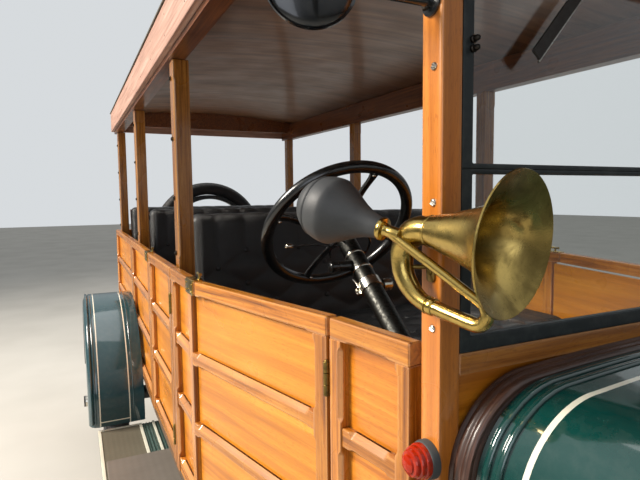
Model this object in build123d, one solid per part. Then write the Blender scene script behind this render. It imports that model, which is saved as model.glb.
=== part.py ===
from build123d import *
import math
import os

os.makedirs("parts", exist_ok=True)

# Wooden-bodied station bus, about 1920, on a light car chassis. Millimetres, +Z up.
# The bus faces -Y, its right side is at -X, and the origin is on the ground under the middle of its box.
# Stations run rearwards from the rear face of the windscreen pillars.

# Wheels and tyres
TYRE_OD = 775.0
TYRE_WIDTH = 90.0
RIM_OD = 600.0
SPOKES = 12
TRACK = 1450.0
FRONT_AXLE = -930.0
REAR_AXLE = 2200.0
HUB_Z = TYRE_OD / 2
RUN_FIT = 0.05
MOVE_GAP = 5.5

# Body heights
SILL_Z = 609.0
FLOOR_THICK = 24.0
BELT_Z = 1185.0
WALL = 25.0
RECESS = 18.0
STILE = 36.0
BELT_RAIL = 33.0
MID_RAIL = 30.0
RAIL_STEP = 173.0
BOTTOM_RAIL = 42.0
RAIL_SETBACK = 3.0
RAIL_BEVEL = 9.0
CHAMFER = 5.0
LATCH_JOG = 28.0

# Body plan: name, station and half width at the belt of each seam, front to rear
SEAMS = {
    "quarter": (15.0, 471.0),
    "front_door": (200.0, 499.5),
    "b_panel": (660.0, 617.0),
    "second_door": (945.0, 625.0),
    "c_panel": (1407.0, 627.0),
    "rear_panel": (2100.0, 620.0),
    "tail": (3060.0, 620.0),
}

# Posts and pillars
POST_X = 46.0
POST_Y = 50.0
POST_INSET = 26.0
POST_STATIONS = (970.0, 1976.0, 2960.0)
POST_OVER = 60.0
PILLAR_X = 31.2
PILLAR_Y = 38.0
PILLAR_OUTER = 463.0

# Roof, in its own frame, raked about the rear end
ROOF_RAKE = 0.9
ROOF_Z = 1800.0
ROOF_REF = 2960.0
ROOF_HALF = 620.0
POST_OUTER = ROOF_HALF - POST_INSET
ROOF_REAR = 3105.0
ROOF_FRONT = -230.0
FASCIA_THICK = 17.0
FASCIA_LOW = 15.0
FASCIA_HIGH = 129.0
SIDE_RAIL = 45.0
SIDE_RAIL_HIGH = 55.0
UPPER_RAIL = 28.0
DECK_LOW = 110.0
DECK_THICK = 12.0
DECK_CAMBER = 38.0
COVER = 5.0
HEADER_LOW = 45.0
HEADER_THICK = 40.0

# Windscreen
SCREEN_BAR = 19.0
SCREEN_DEEP = 16.0
SCREEN_LOW = 1180.0
SCREEN_SPLIT = 1410.0
GLASS = 5.0
SCREEN_RAIL = 28.0

# Dash, scuttle, bonnet and radiator
DASH_THICK = 22.0
MOULDING_HALF = 449.0
MOULDING_TOP = 1158.0
MOULDING_WIDE = 26.0
MOULDING_DEEP = 30.0
SCUTTLE_HALF = 432.0
SCUTTLE_TOP = 1152.0
SCUTTLE_FRONT = -330.0
COWL_HALF = 330.0
COWL_TOP = 1104.0
RADIATOR_REAR = -850.0
RADIATOR_DEEP = 85.0
RADIATOR_HALF = 232.0
RADIATOR_TOP = 1062.0
BONNET_LOW = 640.0
SHEET = 4.0
SPINE_R = 5.0

# Chassis
RAIL_X = 355.0
RAIL_WIDE = 50.0
RAIL_HIGH = 60.0
RAIL_FRONT = -985.0
RAIL_REAR = 2990.0
KING_INSET = 63.0
KING_X = TRACK / 2 - KING_INSET
KING_R = 9.0
ARM = 130.0

# Fenders and running boards
FENDER_R = 435.0
FENDER_CROWN = 915.0
FENDER_INNER = 645.0
FENDER_FRONT = 92.0
FENDER_FOOT = 98.0
TAIL_TURN = 50.0
TAIL_R = 960.0
TAIL_END = 8.0
FENDER_OUTER = 845.0
FENDER_ROLL = 40.0
FENDER_LIP = 22.0
FENDER_SHEET = 4.0
BOARD_Z = 400.0
BOARD_THICK = 26.0
BOARD_INNER = 560.0
BOARD_OUTER = 812.0
BOARD_REAR = 1774.0
APRON = 4.0

# Steering wheel and column
WHEEL_R = 187.0
WHEEL_RIM = 14.5
WHEEL_X = -262.0
WHEEL_STATION = 611.0
WHEEL_Z = 1301.0
COLUMN_LEAN = 51.0
COLUMN_R = 23.5
CLAMP_AT = 197.0
CLAMP_HALF = 11.0
CLAMP_RAISE = 3.0
KNOB_R = 13.0
KNOB_OUT = 52.0
STALK_AT = 131.0
STALK_R = 12.5
STALK_OUT = 76.0

# Seats: the station of each backrest's front face
SEAT_BACKS = (1000.0, 1970.0, 2850.0)
SEAT_GAP = 16.0
SEAT_HALF = POST_OUTER - POST_X - SEAT_GAP
SEAT_LEAN = 8.0
CUSHION_DEEP = 430.0
CUSHION_TOP = 995.0
CUSHION_THICK = 125.0
BACK_TOP = 1330.0
BACK_THICK = 95.0

# Spare wheel
SPARE_Z = 1105.0
SPARE_GAP = 18.0

CHAMFER_STOP = 8.0
QUARTER_STILE = 28.0
WALL_JOINT = 0.5
JOINT = 0.3
LATCH_GAP = MOVE_GAP + 0.7
HINGE_R = MOVE_GAP - 0.3
HINGE_HIGH = 58.0
HINGE_LEAF = 2.0
HINGE_PLAY = 0.4
HINGE_HEIGHTS = (1083.0, 700.0)
FLOOR_INSET = 6.0
ROOF_JOINT = 0.3
COVER_LAP = 4.0
HEADER_BACK = 2.0
PILLAR_INNER = PILLAR_OUTER - PILLAR_X
SCREEN_HALF = PILLAR_INNER - JOINT
DASH_INSET = 8.0
COLUMN_ROOM = 8.0
STEER_BOX_TOP = 600.0
CORNER = 130.0
CROWN = 10.0
RADIATOR_CORNER = 70.0
RADIATOR_BORDER = 32.0
RADIATOR_TANK = 75.0
CORE_INSET = 12.0
NECK_R = 26.0
NECK_HIGH = 24.0
CAP_R = 34.0
CAP_HIGH = 14.0
SPINE_PLAY = 0.8
RAIL_WEB = 6.0
CROSS_MEMBERS = ((-930.0, 0.0), (260.0, 3.0), (1100.0, 3.0), (2200.0, 0.0), (2960.0, 3.0))
CROSS_HALF = 25.0
HANGERS = (200.0, 900.0, 1600.0)
HANGER_HALF = 20.0
HANGER = 12.0
IRON_R = 9.0
IRON_STATION = -985.0
LAMP_BAR_Z = 780.0
LAMP_BAR_R = 9.0
BOSS_LONG = 20.0
BOSS_R = 20.0
HANDLE_R = 11.0
TOW_HALF = 32.0
TOW_REACH = 75.0
TOW_THICK = 16.0
TOW_R = 14.0
ENGINE_HALF = 150.0
ENGINE_FRONT = -790.0
ENGINE_REAR = -250.0
ENGINE_LOW = 430.0
ENGINE_TOP = 930.0
GEARBOX_HALF = 130.0
GEARBOX_REAR = 120.0
GEARBOX_TOP = 520.0
ENGINE_ARM = -450.0
PIPE_X = 235.0
PIPE_Z = 455.0
PIPE_FRONT = -520.0
PIPE_REAR = 2700.0
PIPE_R = 20.0
MUFFLER = (700.0, 1050.0)
MUFFLER_R = 60.0
STUB_OUT = 60.0
STUB_R = 16.0
HUB_IN = 26.0
AXLE_R = 34.0
CASE_R = 105.0
TORQUE_R = 38.0
TORQUE_Z = 472.0
REAR_PERCH = 70.0
FRONT_PERCH = 28.0
DRUM_R = 110.0
DRUM_WIDE = 34.0
REAR_SPRING = 495.0
FRONT_SPRING = 470.0
SPRING_THICK = 30.0
SPRING_WIDE = 50.0
BEAM_HALF = 20.0
KNUCKLE_HIGH = 82.0
KNUCKLE_R = 21.0
FORK_THROAT = 34.0
FORK_HALF = 22.0
FORK_ARM = 15.0
TIE_DROP = -6.0
TIE_EYE_HIGH = 24.0
TIE_EYE_R = 16.0
TIE_PIN_R = 7.0
TIE_R = 10.0
TIE_PLAY = 0.6
RIM_LIP = 8.0
RIM_HALF = 32.0
RIM_SHEET = 6.0
FELLOE = 34.0
FELLOE_HALF = 18.0
HUB_PLATE = 21.0
HUB_FLANGE_R = 76.0
HUB_R = 46.0
HUB_OUT = 105.0
CAP_OUT = 134.0
HUB_CAP_R = 26.0
SPOKE_X = 16.0
SPOKE_Y = 15.0
CARRIER_BAR = 40.0
REAR_FENDER_INNER = 620.6
FENDER_INNER_LIP = 18.0
BOARD_JOINT = 1.0
COLUMN_TOP = 50.0
SHAFT_IN = 110.0
SHAFT_R = 9.0
BOX_SIDE = 40.0
BOX_LONG = 110.0
WHEEL_DISH = 28.0
WHEEL_HUB_R = 26.0
WHEEL_HUB = 22.0
WHEEL_SPOKE = 6.0
WHEEL_SPOKES = 4
SPOKE_TURN = 73.0
CUSHION_ROUND = 30.0
RISER_INSET = 25.0
SEAT_BOARD = 18.0
HORN_X = -454.0
HORN_STATION = -145.0
HORN_Z = 1326.0
HORN_MOUTH_DIR = (0.211, -0.979, 0.0)
HORN_SIDE = 6.0
BELL_LONG = 104.0
BELL_DROP = 5.5
BELL_SHEET = 2.5
BELL_FLARE = [(0.0, 77.0), (5.0, 68.0), (9.0, 60.5), (18.0, 49.5), (32.0, 40.0), (50.0, 33.0), (72.0, 26.5)]
BELL_HOLLOW = 0.75
ELBOW_BEND = 45.5
ELBOW_RADII = [17.6, 16.0, 13.4, 10.8, 8.8]
RETURN_LONG = 72.0
RETURN_DROP = 6.7
LOOP_BEND = 12.5
LOOP_TURN = 155.0
PIPE_R = 6.8
FERRULE = (-513.0, 4.0, 1335.5)
FERRULE_R = 11.0
FERRULE_LONG = 13.0
BULB_MID = (-549.0, 76.0, 1359.0)
BULB_R = 42.5
BULB_END_DEEP = 48.0
BULB_NECK_R = 20.5
HORN_CLIP_Z = 1284.0
HORN_CLIP_SIZE = (4.0, 16.0, 26.0)
HORN_STRAP_R = 4.0
MIRROR_DIR = (0.25, 0.96, -0.05)
MIRROR_X = -572.0
MIRROR_STATION = 87.0
MIRROR_Z = 1654.0
MIRROR_R = 62.5
MIRROR_THICK = 12.0
MIRROR_ARM = 6.0
MIRROR_FOOT_Z = 1606.0
LAMP_STEM = 20.0
LAMP_R = 92.0
LAMP_X = 300.0
LAMP_DEEP = 120.0
LAMP_RIM = 35.0
SIDE_LAMP_Z = 1043.0
SIDE_LAMP_R = 24.5
SIDE_LAMP_BASE = 11.0
SIDE_LENS = [(22.5, 0.0), (22.5, 6.0), (20.5, 7.5), (20.5, 13.0), (17.0, 14.5), (17.0, 19.5), (11.5, 23.0),
             (5.0, 27.0)]
TAIL_LAMP_X = 555.0
TAIL_LAMP_Z = 760.0
TAIL_LAMP_R = 32.0
TAIL_LAMP_DEEP = 30.0
OVERCUT = 5.0
SPINE_OVER = 20.0
SPINE_LIFT = 1.0
SPINE_ROOM = 50.0
HANGER_SHORT = 20.0
IRON_LAP = 30.0
HANDLE_BORE = 200.0
TOW_LAP = 40.0
ARM_HALF = 15.0
FLANGE_LONG = 40.0
FLANGE_SET = 2.0
AXLE_SHORT = 20.0
DRUM_SET = 10.0
PERCH_HALF = 25.0
BEAM_UNDER = 30.0
BEAM_OVER = 20.0
FORK_ROOT = 30.0
FORK_TIP = 20.0
RISER_SIDE = 10.0
BOARD_LOW = 15.0

FRONT_END = FRONT_AXLE - FENDER_R
REAR_END = SEAMS["tail"][0] + SPARE_GAP + TYRE_WIDTH
MID = (FRONT_END + REAR_END) / 2

nodes = {}


def at(station):
    return station - MID


def block(x0, x1, s0, s1, z0, z1):
    size = Box(abs(x1 - x0), abs(s1 - s0), abs(z1 - z0))
    return Pos((x0 + x1) / 2, at((s0 + s1) / 2), (z0 + z1) / 2) * size


def rod(start, end, radius):
    path = Vector(*end) - Vector(*start)
    plane = Plane(origin=start, z_dir=path)
    return extrude(plane * Circle(radius), amount=path.length)


def mirrored(shape):
    return mirror(shape, about=Plane.YZ)


def pair(shape):
    return [shape, mirrored(shape)]


def keep(name, *solids):
    flat = []
    for item in solids:
        flat.extend(item if isinstance(item, (list, tuple)) else [item])
    nodes[name] = flat


def wall_frame(seam, next_seam, gap_front, gap_rear):
    s0, x0 = seam
    s1, x1 = next_seam
    run = Vector(-(x1 - x0), s1 - s0, 0)
    length = run.length - gap_front - gap_rear
    start = Vector(-x0, at(s0), 0) + run.normalized() * gap_front
    return Plane(origin=start, x_dir=run, z_dir=(0, 0, 1)), length


def rail_profile(top, high):
    face = -RAIL_SETBACK
    back = -RECESS - 1
    return [(back, top), (face - RAIL_BEVEL, top), (face, top - RAIL_BEVEL), (face, top - high + 3),
            (face - 3, top - high), (back, top - high)]


def wall_section(length, low, belt=None, rear_stile=True, stile=STILE):
    # one framed panel, along +x from its front edge, outer face on y = 0
    belt_from, belt_to = belt or (0.0, length)
    belt_low = BELT_Z - BELT_RAIL
    under = belt_low - MOVE_GAP
    shared = (max(belt_from, 0.0), min(belt_to, length))
    mid_skin = -(RECESS + WALL) / 2
    solid = Pos(length / 2, mid_skin, (low + under) / 2) * Box(length, WALL - RECESS, under - low)
    solid += Pos(sum(shared) / 2, mid_skin, (low + BELT_Z) / 2) * Box(shared[1] - shared[0], WALL - RECESS,
                                                                      BELT_Z - low)
    stiles = [0.0, length - stile] if rear_stile else [0.0]
    for x0 in stiles:
        solid += Pos(x0 + stile / 2, -WALL / 2, (low + BELT_Z) / 2) * Box(stile, WALL, BELT_Z - low)
    solid += Pos((belt_from + belt_to) / 2, -WALL / 2, BELT_Z - BELT_RAIL / 2) * Box(belt_to - belt_from,
                                                                                     WALL, BELT_RAIL)
    tops = [BELT_Z - RAIL_STEP * n for n in (1, 2)]
    rails = [(top, MID_RAIL) for top in tops] + [(low + BOTTOM_RAIL, BOTTOM_RAIL)]
    rail_start = Plane(origin=(1, 0, 0), x_dir=(0, 1, 0), z_dir=(1, 0, 0))
    for top, rail_high in rails:
        face = rail_start * make_face(Polyline(*rail_profile(top, rail_high), close=True))
        solid += extrude(face, amount=length - 1 - (1 if rear_stile else 0))
    bays = [(belt_low, tops[0]), (tops[0] - MID_RAIL, tops[1]), (tops[1] - MID_RAIL, low + BOTTOM_RAIL)]
    deep = CHAMFER / math.sqrt(2)
    edges = [(stile, 1), (length - stile, -1)] if rear_stile else [(stile, 1)]
    for edge, side in edges:
        inward = Vector(-side, -1, 0).normalized()
        across = inward.cross(Vector(0, 0, 1))
        for top, bottom in bays:
            run = (top - bottom) / 2 - CHAMFER_STOP
            plane = Plane(origin=(edge, 0, (top + bottom) / 2), x_dir=(0, 0, 1), z_dir=across)
            sign = 1 if plane.y_dir.dot(inward) > 0 else -1
            slope = run - CHAMFER_STOP
            cut = Polyline((-run, -WALL * sign), (run, -WALL * sign), (run, 0), (slope, deep * sign),
                           (-slope, deep * sign), (-run, 0), close=True)
            solid -= extrude(plane * make_face(cut), amount=CHAMFER, both=True)
    return solid


# Side walls: fixed sections stand on the floor, doors clear it
door_low = SILL_Z + MOVE_GAP


def section_at(name, next_name, low, gap_front, gap_rear, **more):
    plane, length = wall_frame(SEAMS[name], SEAMS[next_name], gap_front, gap_rear)
    return plane, length, plane * wall_section(length, low, **more)


half_gap = MOVE_GAP / 2
door_a_plane, door_a_belt = wall_frame(SEAMS["front_door"], SEAMS["b_panel"], half_gap, half_gap)
door_a_length = door_a_belt + LATCH_JOG
front_door = door_a_plane * wall_section(door_a_length, door_low, belt=(0.0, door_a_belt), rear_stile=False)
door_b_plane, door_b_length, second_door = section_at("second_door", "c_panel", door_low, half_gap, half_gap)
quarter = section_at("quarter", "front_door", SILL_Z, 0.0, half_gap, stile=QUARTER_STILE)[2]
b_plane, b_length = wall_frame(SEAMS["b_panel"], SEAMS["second_door"], half_gap + LATCH_JOG, half_gap)
b_panel = b_plane * wall_section(b_length, SILL_Z, belt=(-LATCH_JOG, b_length))
c_panel = section_at("c_panel", "rear_panel", SILL_Z, half_gap, WALL_JOINT)[2]
rear_panel = section_at("rear_panel", "tail", SILL_Z, WALL_JOINT, 0.0)[2]


def door_room(plane, length, x_end, z_top):
    # clear space that a shut door keeps round itself, cut from the fixed walls
    x0 = -MOVE_GAP
    return plane * (Pos((x0 + x_end) / 2, -WALL, z_top / 2) * Box(x_end - x0, 4 * WALL, z_top))


belt_low = BELT_Z - BELT_RAIL
rooms = [
    door_room(door_a_plane, door_a_length, door_a_length + LATCH_GAP, belt_low),
    door_room(door_a_plane, door_a_belt, door_a_belt + LATCH_GAP, BELT_Z + 1),
    door_room(door_b_plane, door_b_length, door_b_length + LATCH_GAP, BELT_Z + 1),
]
fixed = []
for wall in (quarter, b_panel, c_panel, rear_panel):
    for room in rooms:
        wall = wall - room
    fixed.append(wall)


def hinge(plane, middle):
    # butt hinge on the door's front edge: leaf and middle knuckle on the post, end knuckles on the door
    third = HINGE_HIGH / 3
    knuckle_high = third - HINGE_PLAY
    fixed_part = Pos(0, 0, middle) * Cylinder(HINGE_R, knuckle_high)
    leaf_x = -MOVE_GAP + 0.2
    leaf = Pos(leaf_x + HINGE_LEAF / 2, -WALL / 2 - HINGE_R / 2, middle) * Box(HINGE_LEAF,
                                                                               WALL - HINGE_R - 4,
                                                                               HINGE_HIGH)
    web = Pos(leaf_x + HINGE_LEAF / 2, -HINGE_R, middle) * Box(HINGE_LEAF, 2 * HINGE_R, knuckle_high)
    fixed_part += leaf + web
    moving = [Pos(0, 0, middle + side * third) * Cylinder(HINGE_R, knuckle_high) for side in (-1, 1)]
    return plane * fixed_part, [plane * item for item in moving]


hinge_parts = []
doors = {}
for name, plane, solid in (("front_door", door_a_plane, front_door),
                           ("second_door", door_b_plane, second_door)):
    for middle in HINGE_HEIGHTS:
        room = plane * (Pos(0, 0, middle) * Box(2 * HINGE_R + 0.6, 2 * HINGE_R + 0.6,
                                                HINGE_HIGH / 3 + HINGE_PLAY))
        solid = solid - room
        fixed_part, moving = hinge(plane, middle)
        hinge_parts.extend(pair(fixed_part))
        for item in moving:
            solid = solid + item
    doors[name] = solid
keep("side_wall_right", fixed)
keep("side_wall_left", [mirrored(item) for item in fixed])
keep("hinges", hinge_parts)
for name, solid in doors.items():
    keep(name + "_right", solid)
    keep(name + "_left", mirrored(solid))

# Tail panel between the side walls
tail_half = SEAMS["tail"][1] - WALL - 1.0
tail_front = SEAMS["tail"][0]
tail_plane = Plane(origin=(-tail_half, at(tail_front), 0), x_dir=(1, 0, 0), z_dir=(0, 0, 1))
keep("tail_panel", tail_plane * wall_section(2 * tail_half, SILL_Z))

# Floor, under the walls
floor_points = [(-(half - FLOOR_INSET), at(station)) for station, half in SEAMS.values()]
floor_points[0] = (-PILLAR_OUTER, at(-PILLAR_Y))
floor_outline = floor_points + [(-x, y) for x, y in reversed(floor_points)]
floor_face = Pos(0, 0, SILL_Z - FLOOR_THICK) * make_face(Polyline(*floor_outline, close=True))
keep("floor", extrude(floor_face, amount=FLOOR_THICK, dir=(0, 0, 1)))

# Roof: every member is made in the raked roof plane
rake = math.radians(ROOF_RAKE)
roof_plane = Plane(origin=(0, at(ROOF_REF), ROOF_Z), x_dir=(1, 0, 0),
                   z_dir=(0, -math.sin(rake), math.cos(rake)))


def roof_block(x0, x1, s0, s1, z0, z1):
    return Pos((x0 + x1) / 2, (s0 + s1) / 2 - ROOF_REF, (z0 + z1) / 2) * Box(abs(x1 - x0), s1 - s0, z1 - z0)


def roof_band(half, low, rise, thick, s0, s1):
    # cambered sheet drawn across the roof and run along it; thick None gives the space under it
    top = low + (thick or 0.0)
    arc_top = ThreePointArc((-half, top), (0, top + rise), (half, top))
    if thick is None:
        lower = [Polyline((half, top), (half, 0), (-half, 0), (-half, top))]
    else:
        arc_low = ThreePointArc((half, low), (0, low + rise), (-half, low))
        lower = [Line((half, top), (half, low)), arc_low, Line((-half, low), (-half, top))]
    face = make_face(Curve() + [arc_top] + lower)
    plane = Plane(origin=(0, s0 - ROOF_REF, 0), x_dir=(-1, 0, 0), z_dir=(0, 1, 0))
    return extrude(plane * face, amount=s1 - s0)


inner = ROOF_HALF - FASCIA_THICK
roof_front = ROOF_FRONT + FASCIA_THICK
roof_rear = ROOF_REAR - FASCIA_THICK
deck = roof_band(inner, DECK_LOW, DECK_CAMBER, DECK_THICK, roof_front, roof_rear)
under = roof_band(inner, DECK_LOW, DECK_CAMBER, None, roof_front, roof_rear)
roof_frame = None
for side in (-1, 1):
    low = roof_block(side * (inner - SIDE_RAIL), side * inner, roof_front, roof_rear, 0, SIDE_RAIL_HIGH)
    high = roof_block(side * (inner - UPPER_RAIL), side * inner, roof_front, roof_rear, SIDE_RAIL_HIGH / 2,
                      DECK_LOW)
    roof_frame = low + high if roof_frame is None else roof_frame + low + high
for station in (-PILLAR_Y + HEADER_BACK, POST_STATIONS[-1] + POST_Y - HEADER_THICK):
    span = inner - UPPER_RAIL / 2
    roof_frame += roof_block(-span, span, station, station + HEADER_THICK, HEADER_LOW,
                             DECK_LOW + DECK_CAMBER) & under
keep("roof_frame", roof_plane * roof_frame)
keep("roof_deck", roof_plane * deck)
fascia = roof_block(-ROOF_HALF, ROOF_HALF, ROOF_FRONT, ROOF_REAR, FASCIA_LOW, FASCIA_HIGH)
bare = inner + ROOF_JOINT
fascia -= roof_block(-bare, bare, roof_front - ROOF_JOINT, roof_rear + ROOF_JOINT, FASCIA_LOW - 5,
                     FASCIA_HIGH + 5)
keep("roof_fascia", roof_plane * fascia)
cover_low = FASCIA_HIGH + ROOF_JOINT
cover = roof_band(ROOF_HALF + COVER_LAP, cover_low, DECK_CAMBER - 3, COVER, ROOF_FRONT - COVER_LAP,
                  ROOF_REAR + COVER_LAP)
keep("roof_cover", roof_plane * cover)

# Posts and windscreen pillars, from the floor to the roof frame


def below_roof(z_top):
    return roof_plane * (Pos(0, 0, z_top - ROOF_JOINT - ROOF_Z) * Box(4 * ROOF_HALF, 4 * ROOF_REAR,
                                                                      2 * ROOF_Z))


posts = []
for station in POST_STATIONS:
    post = block(-POST_OUTER, -POST_OUTER + POST_X, station, station + POST_Y, SILL_Z, ROOF_Z + POST_OVER)
    posts.extend(pair(post & below_roof(0)))
pillar = block(-PILLAR_OUTER, -PILLAR_OUTER + PILLAR_X, -PILLAR_Y, 0, SILL_Z, ROOF_Z + HEADER_LOW)
keep("posts", posts, pair(pillar & below_roof(HEADER_LOW)))

# Windscreen: a frame of two lights, and its glass
screen_front = -PILLAR_Y
screen_rear = screen_front + SCREEN_DEEP
screen_top = ROOF_Z + HEADER_LOW - math.tan(rake) * (ROOF_REF + PILLAR_Y) - JOINT
screen = block(-SCREEN_HALF, SCREEN_HALF, screen_front, screen_rear, SCREEN_LOW, screen_top)
lights = [(SCREEN_LOW + SCREEN_BAR, SCREEN_SPLIT - SCREEN_BAR / 2),
          (SCREEN_SPLIT + SCREEN_BAR / 2, screen_top - SCREEN_BAR)]
clear_half = SCREEN_HALF - SCREEN_BAR
glass_front = screen_front + (SCREEN_DEEP - GLASS) / 2
panes = []
for low, high in lights:
    screen -= block(-clear_half, clear_half, screen_front - 5, screen_rear + 5, low, high)
    pane_half = clear_half - JOINT
    panes.append(block(-pane_half, pane_half, glass_front, glass_front + GLASS, low + JOINT, high - JOINT))
keep("windscreen_frame", screen)
keep("windscreen_glass", panes)

# Dash panel of wood with the rail under the windscreen
column_axis = Vector(0, -math.sin(math.radians(COLUMN_LEAN)), -math.cos(math.radians(COLUMN_LEAN)))
wheel_centre = Vector(WHEEL_X, at(WHEEL_STATION), WHEEL_Z)


def on_column(t):
    place = wheel_centre + column_axis * t
    return (place.X, place.Y, place.Z)


dash_half = PILLAR_INNER - JOINT
dash_rear = -DASH_INSET
dash_front = dash_rear - DASH_THICK
dash = block(-dash_half, dash_half, dash_front, dash_rear, SILL_Z, SCREEN_LOW - SCREEN_RAIL)
dash += block(-dash_half, dash_half, -PILLAR_Y, dash_rear, SCREEN_LOW - SCREEN_RAIL - 1, SCREEN_LOW - JOINT)
column_foot = (WHEEL_Z - STEER_BOX_TOP) / math.cos(math.radians(COLUMN_LEAN))
dash -= rod(on_column(0), on_column(column_foot), COLUMN_R + COLUMN_ROOM)
keep("dash_panel", dash)


def arch_face(half, top, low, corner):
    # flat foot, upright sides, round corners and a crowned top
    lean = corner * (1 - math.sqrt(0.5))
    shoulder = top - CROWN - corner
    right = ThreePointArc((half, shoulder), (half - lean, shoulder + corner - lean),
                          (half - corner, top - CROWN))
    left = ThreePointArc((corner - half, top - CROWN), (lean - half, shoulder + corner - lean),
                         (-half, shoulder))
    head = ThreePointArc((half - corner, top - CROWN), (0, top), (corner - half, top - CROWN))
    foot = Polyline((-half, shoulder), (-half, low), (half, low), (half, shoulder))
    return make_face(Curve() + [right, head, left, foot])


def arch_at(station, half, top, low, corner):
    return Plane(origin=(0, at(station), 0), x_dir=(-1, 0, 0), z_dir=(0, 1, 0)) * arch_face(half, top, low,
                                                                                            corner)


# Cowl moulding on the pillars' front faces
moulding_rear = -PILLAR_Y - JOINT
moulding = extrude(arch_at(moulding_rear, MOULDING_HALF, MOULDING_TOP, SILL_Z, CORNER),
                   amount=-MOULDING_DEEP)
moulding_hole = arch_at(moulding_rear + OVERCUT, MOULDING_HALF - MOULDING_WIDE, MOULDING_TOP - MOULDING_WIDE,
                        SILL_Z - OVERCUT, CORNER - MOULDING_WIDE / 2)
moulding -= extrude(moulding_hole, amount=-MOULDING_DEEP - 2 * OVERCUT)
keep("cowl_moulding", moulding)

# Scuttle: sheet from the moulding to the bonnet
scuttle_rear = moulding_rear - MOULDING_DEEP - JOINT


def hood(stations, halves, tops, corners, low):
    shapes = []
    for skin in (0.0, SHEET):
        faces = []
        for station, half, top, corner in zip(stations, halves, tops, corners):
            faces.append(arch_at(station, half - skin, top - skin, low, corner - skin))
        shapes.append(loft(faces))
    return shapes[0] - shapes[1]


scuttle = hood((scuttle_rear, SCUTTLE_FRONT), (SCUTTLE_HALF, COWL_HALF), (SCUTTLE_TOP, COWL_TOP),
               (CORNER, CORNER), SILL_Z)
keep("scuttle", scuttle)

# Radiator on the front cross member, with its filler and the bonnet's hinge rod
frame_top = SILL_Z - FLOOR_THICK
frame_low = frame_top - RAIL_HIGH
radiator_front = RADIATOR_REAR - RADIATOR_DEEP
shell = extrude(arch_at(RADIATOR_REAR, RADIATOR_HALF, RADIATOR_TOP, frame_top, RADIATOR_CORNER),
                amount=-RADIATOR_DEEP)
window = arch_at(radiator_front - 1, RADIATOR_HALF - RADIATOR_BORDER, RADIATOR_TOP - RADIATOR_TANK,
                 frame_top + RADIATOR_BORDER, RADIATOR_CORNER / 2)
shell -= extrude(window, amount=CORE_INSET + 1)
neck_y = at(RADIATOR_REAR - RADIATOR_DEEP / 2)
neck_low = RADIATOR_TOP - OVERCUT
neck_top = RADIATOR_TOP + NECK_HIGH
shell += rod((0, neck_y, neck_low), (0, neck_y, neck_top), NECK_R)
shell += rod((0, neck_y, neck_top), (0, neck_y, neck_top + CAP_HIGH), CAP_R)
keep("radiator", shell)
spine_slope = (COWL_TOP - RADIATOR_TOP) / (SCUTTLE_FRONT - RADIATOR_REAR)
spine_rise = SPINE_OVER * spine_slope
spine_rear = (0, at(SCUTTLE_FRONT + SPINE_OVER), COWL_TOP + SPINE_LIFT + spine_rise)
spine_front = (0, at(RADIATOR_REAR - SPINE_OVER), RADIATOR_TOP + SPINE_LIFT - spine_rise)
spine_room = block(-2 * SPINE_R, 2 * SPINE_R, RADIATOR_REAR, SCUTTLE_FRONT, RADIATOR_TOP - SPINE_ROOM,
                   COWL_TOP + SPINE_ROOM)
keep("bonnet_rod", rod(spine_rear, spine_front, SPINE_R) & spine_room)

# Bonnet halves
bonnet_rear = SCUTTLE_FRONT - MOVE_GAP
bonnet_front = RADIATOR_REAR + MOVE_GAP
bonnet = hood((bonnet_rear, bonnet_front), (COWL_HALF, RADIATOR_HALF), (COWL_TOP, RADIATOR_TOP),
              (CORNER, RADIATOR_CORNER), BONNET_LOW)
half_room = SPINE_R + SPINE_PLAY
bonnet_left = bonnet & block(half_room, 2 * COWL_HALF, bonnet_front - OVERCUT, bonnet_rear + OVERCUT,
                             BONNET_LOW - OVERCUT, COWL_TOP + SPINE_ROOM)
keep("bonnet_left", bonnet_left)
keep("bonnet_right", mirrored(bonnet_left))

# Chassis: channel rails, cross members, board hangers, fender irons and tow eye
rail_inner = RAIL_X - RAIL_WIDE / 2
rail_outer = RAIL_X + RAIL_WIDE / 2
chassis = None
for side in (-1, 1):
    rail = block(side * rail_inner, side * rail_outer, RAIL_FRONT, RAIL_REAR, frame_low, frame_top)
    rail -= block(side * (rail_inner + RAIL_WEB), side * (rail_outer + 1), RAIL_FRONT - 1, RAIL_REAR + 1,
                  frame_low + RAIL_WEB, frame_top - RAIL_WEB)
    chassis = rail if chassis is None else chassis + rail
for station, low in CROSS_MEMBERS:
    chassis += block(-rail_inner - 1, rail_inner + 1, station - CROSS_HALF, station + CROSS_HALF,
                     frame_low + low, frame_top)
hanger_z = BOARD_Z - BOARD_THICK
arc_z = FENDER_CROWN - FENDER_R
iron_reach = FENDER_R - FENDER_INNER_LIP - IRON_R - JOINT
iron_z = arc_z + math.sqrt(iron_reach ** 2 - (IRON_STATION - FRONT_AXLE) ** 2)
for side in (-1, 1):
    for station in HANGERS:
        s0 = station - HANGER_HALF
        s1 = station + HANGER_HALF
        chassis += block(side * (rail_outer - 1), side * (rail_outer + HANGER), s0, s1, hanger_z - HANGER,
                         frame_top - OVERCUT)
        chassis += block(side * rail_outer, side * (BOARD_OUTER - HANGER_SHORT), s0, s1, hanger_z - HANGER,
                         hanger_z - JOINT)
        chassis += block(side * rail_inner, side * rail_outer, s0, s1, frame_low, frame_low + RAIL_WEB + 1)
    iron_x = side * (rail_outer + IRON_R - 1)
    iron_y = at(IRON_STATION)
    chassis += rod((iron_x, iron_y, frame_low + OVERCUT), (iron_x, iron_y, iron_z), IRON_R)
    chassis += rod((iron_x, iron_y, iron_z), (side * (FENDER_INNER + IRON_LAP), iron_y, iron_z), IRON_R)
    chassis += Pos(iron_x, iron_y, iron_z) * Sphere(IRON_R)
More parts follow.
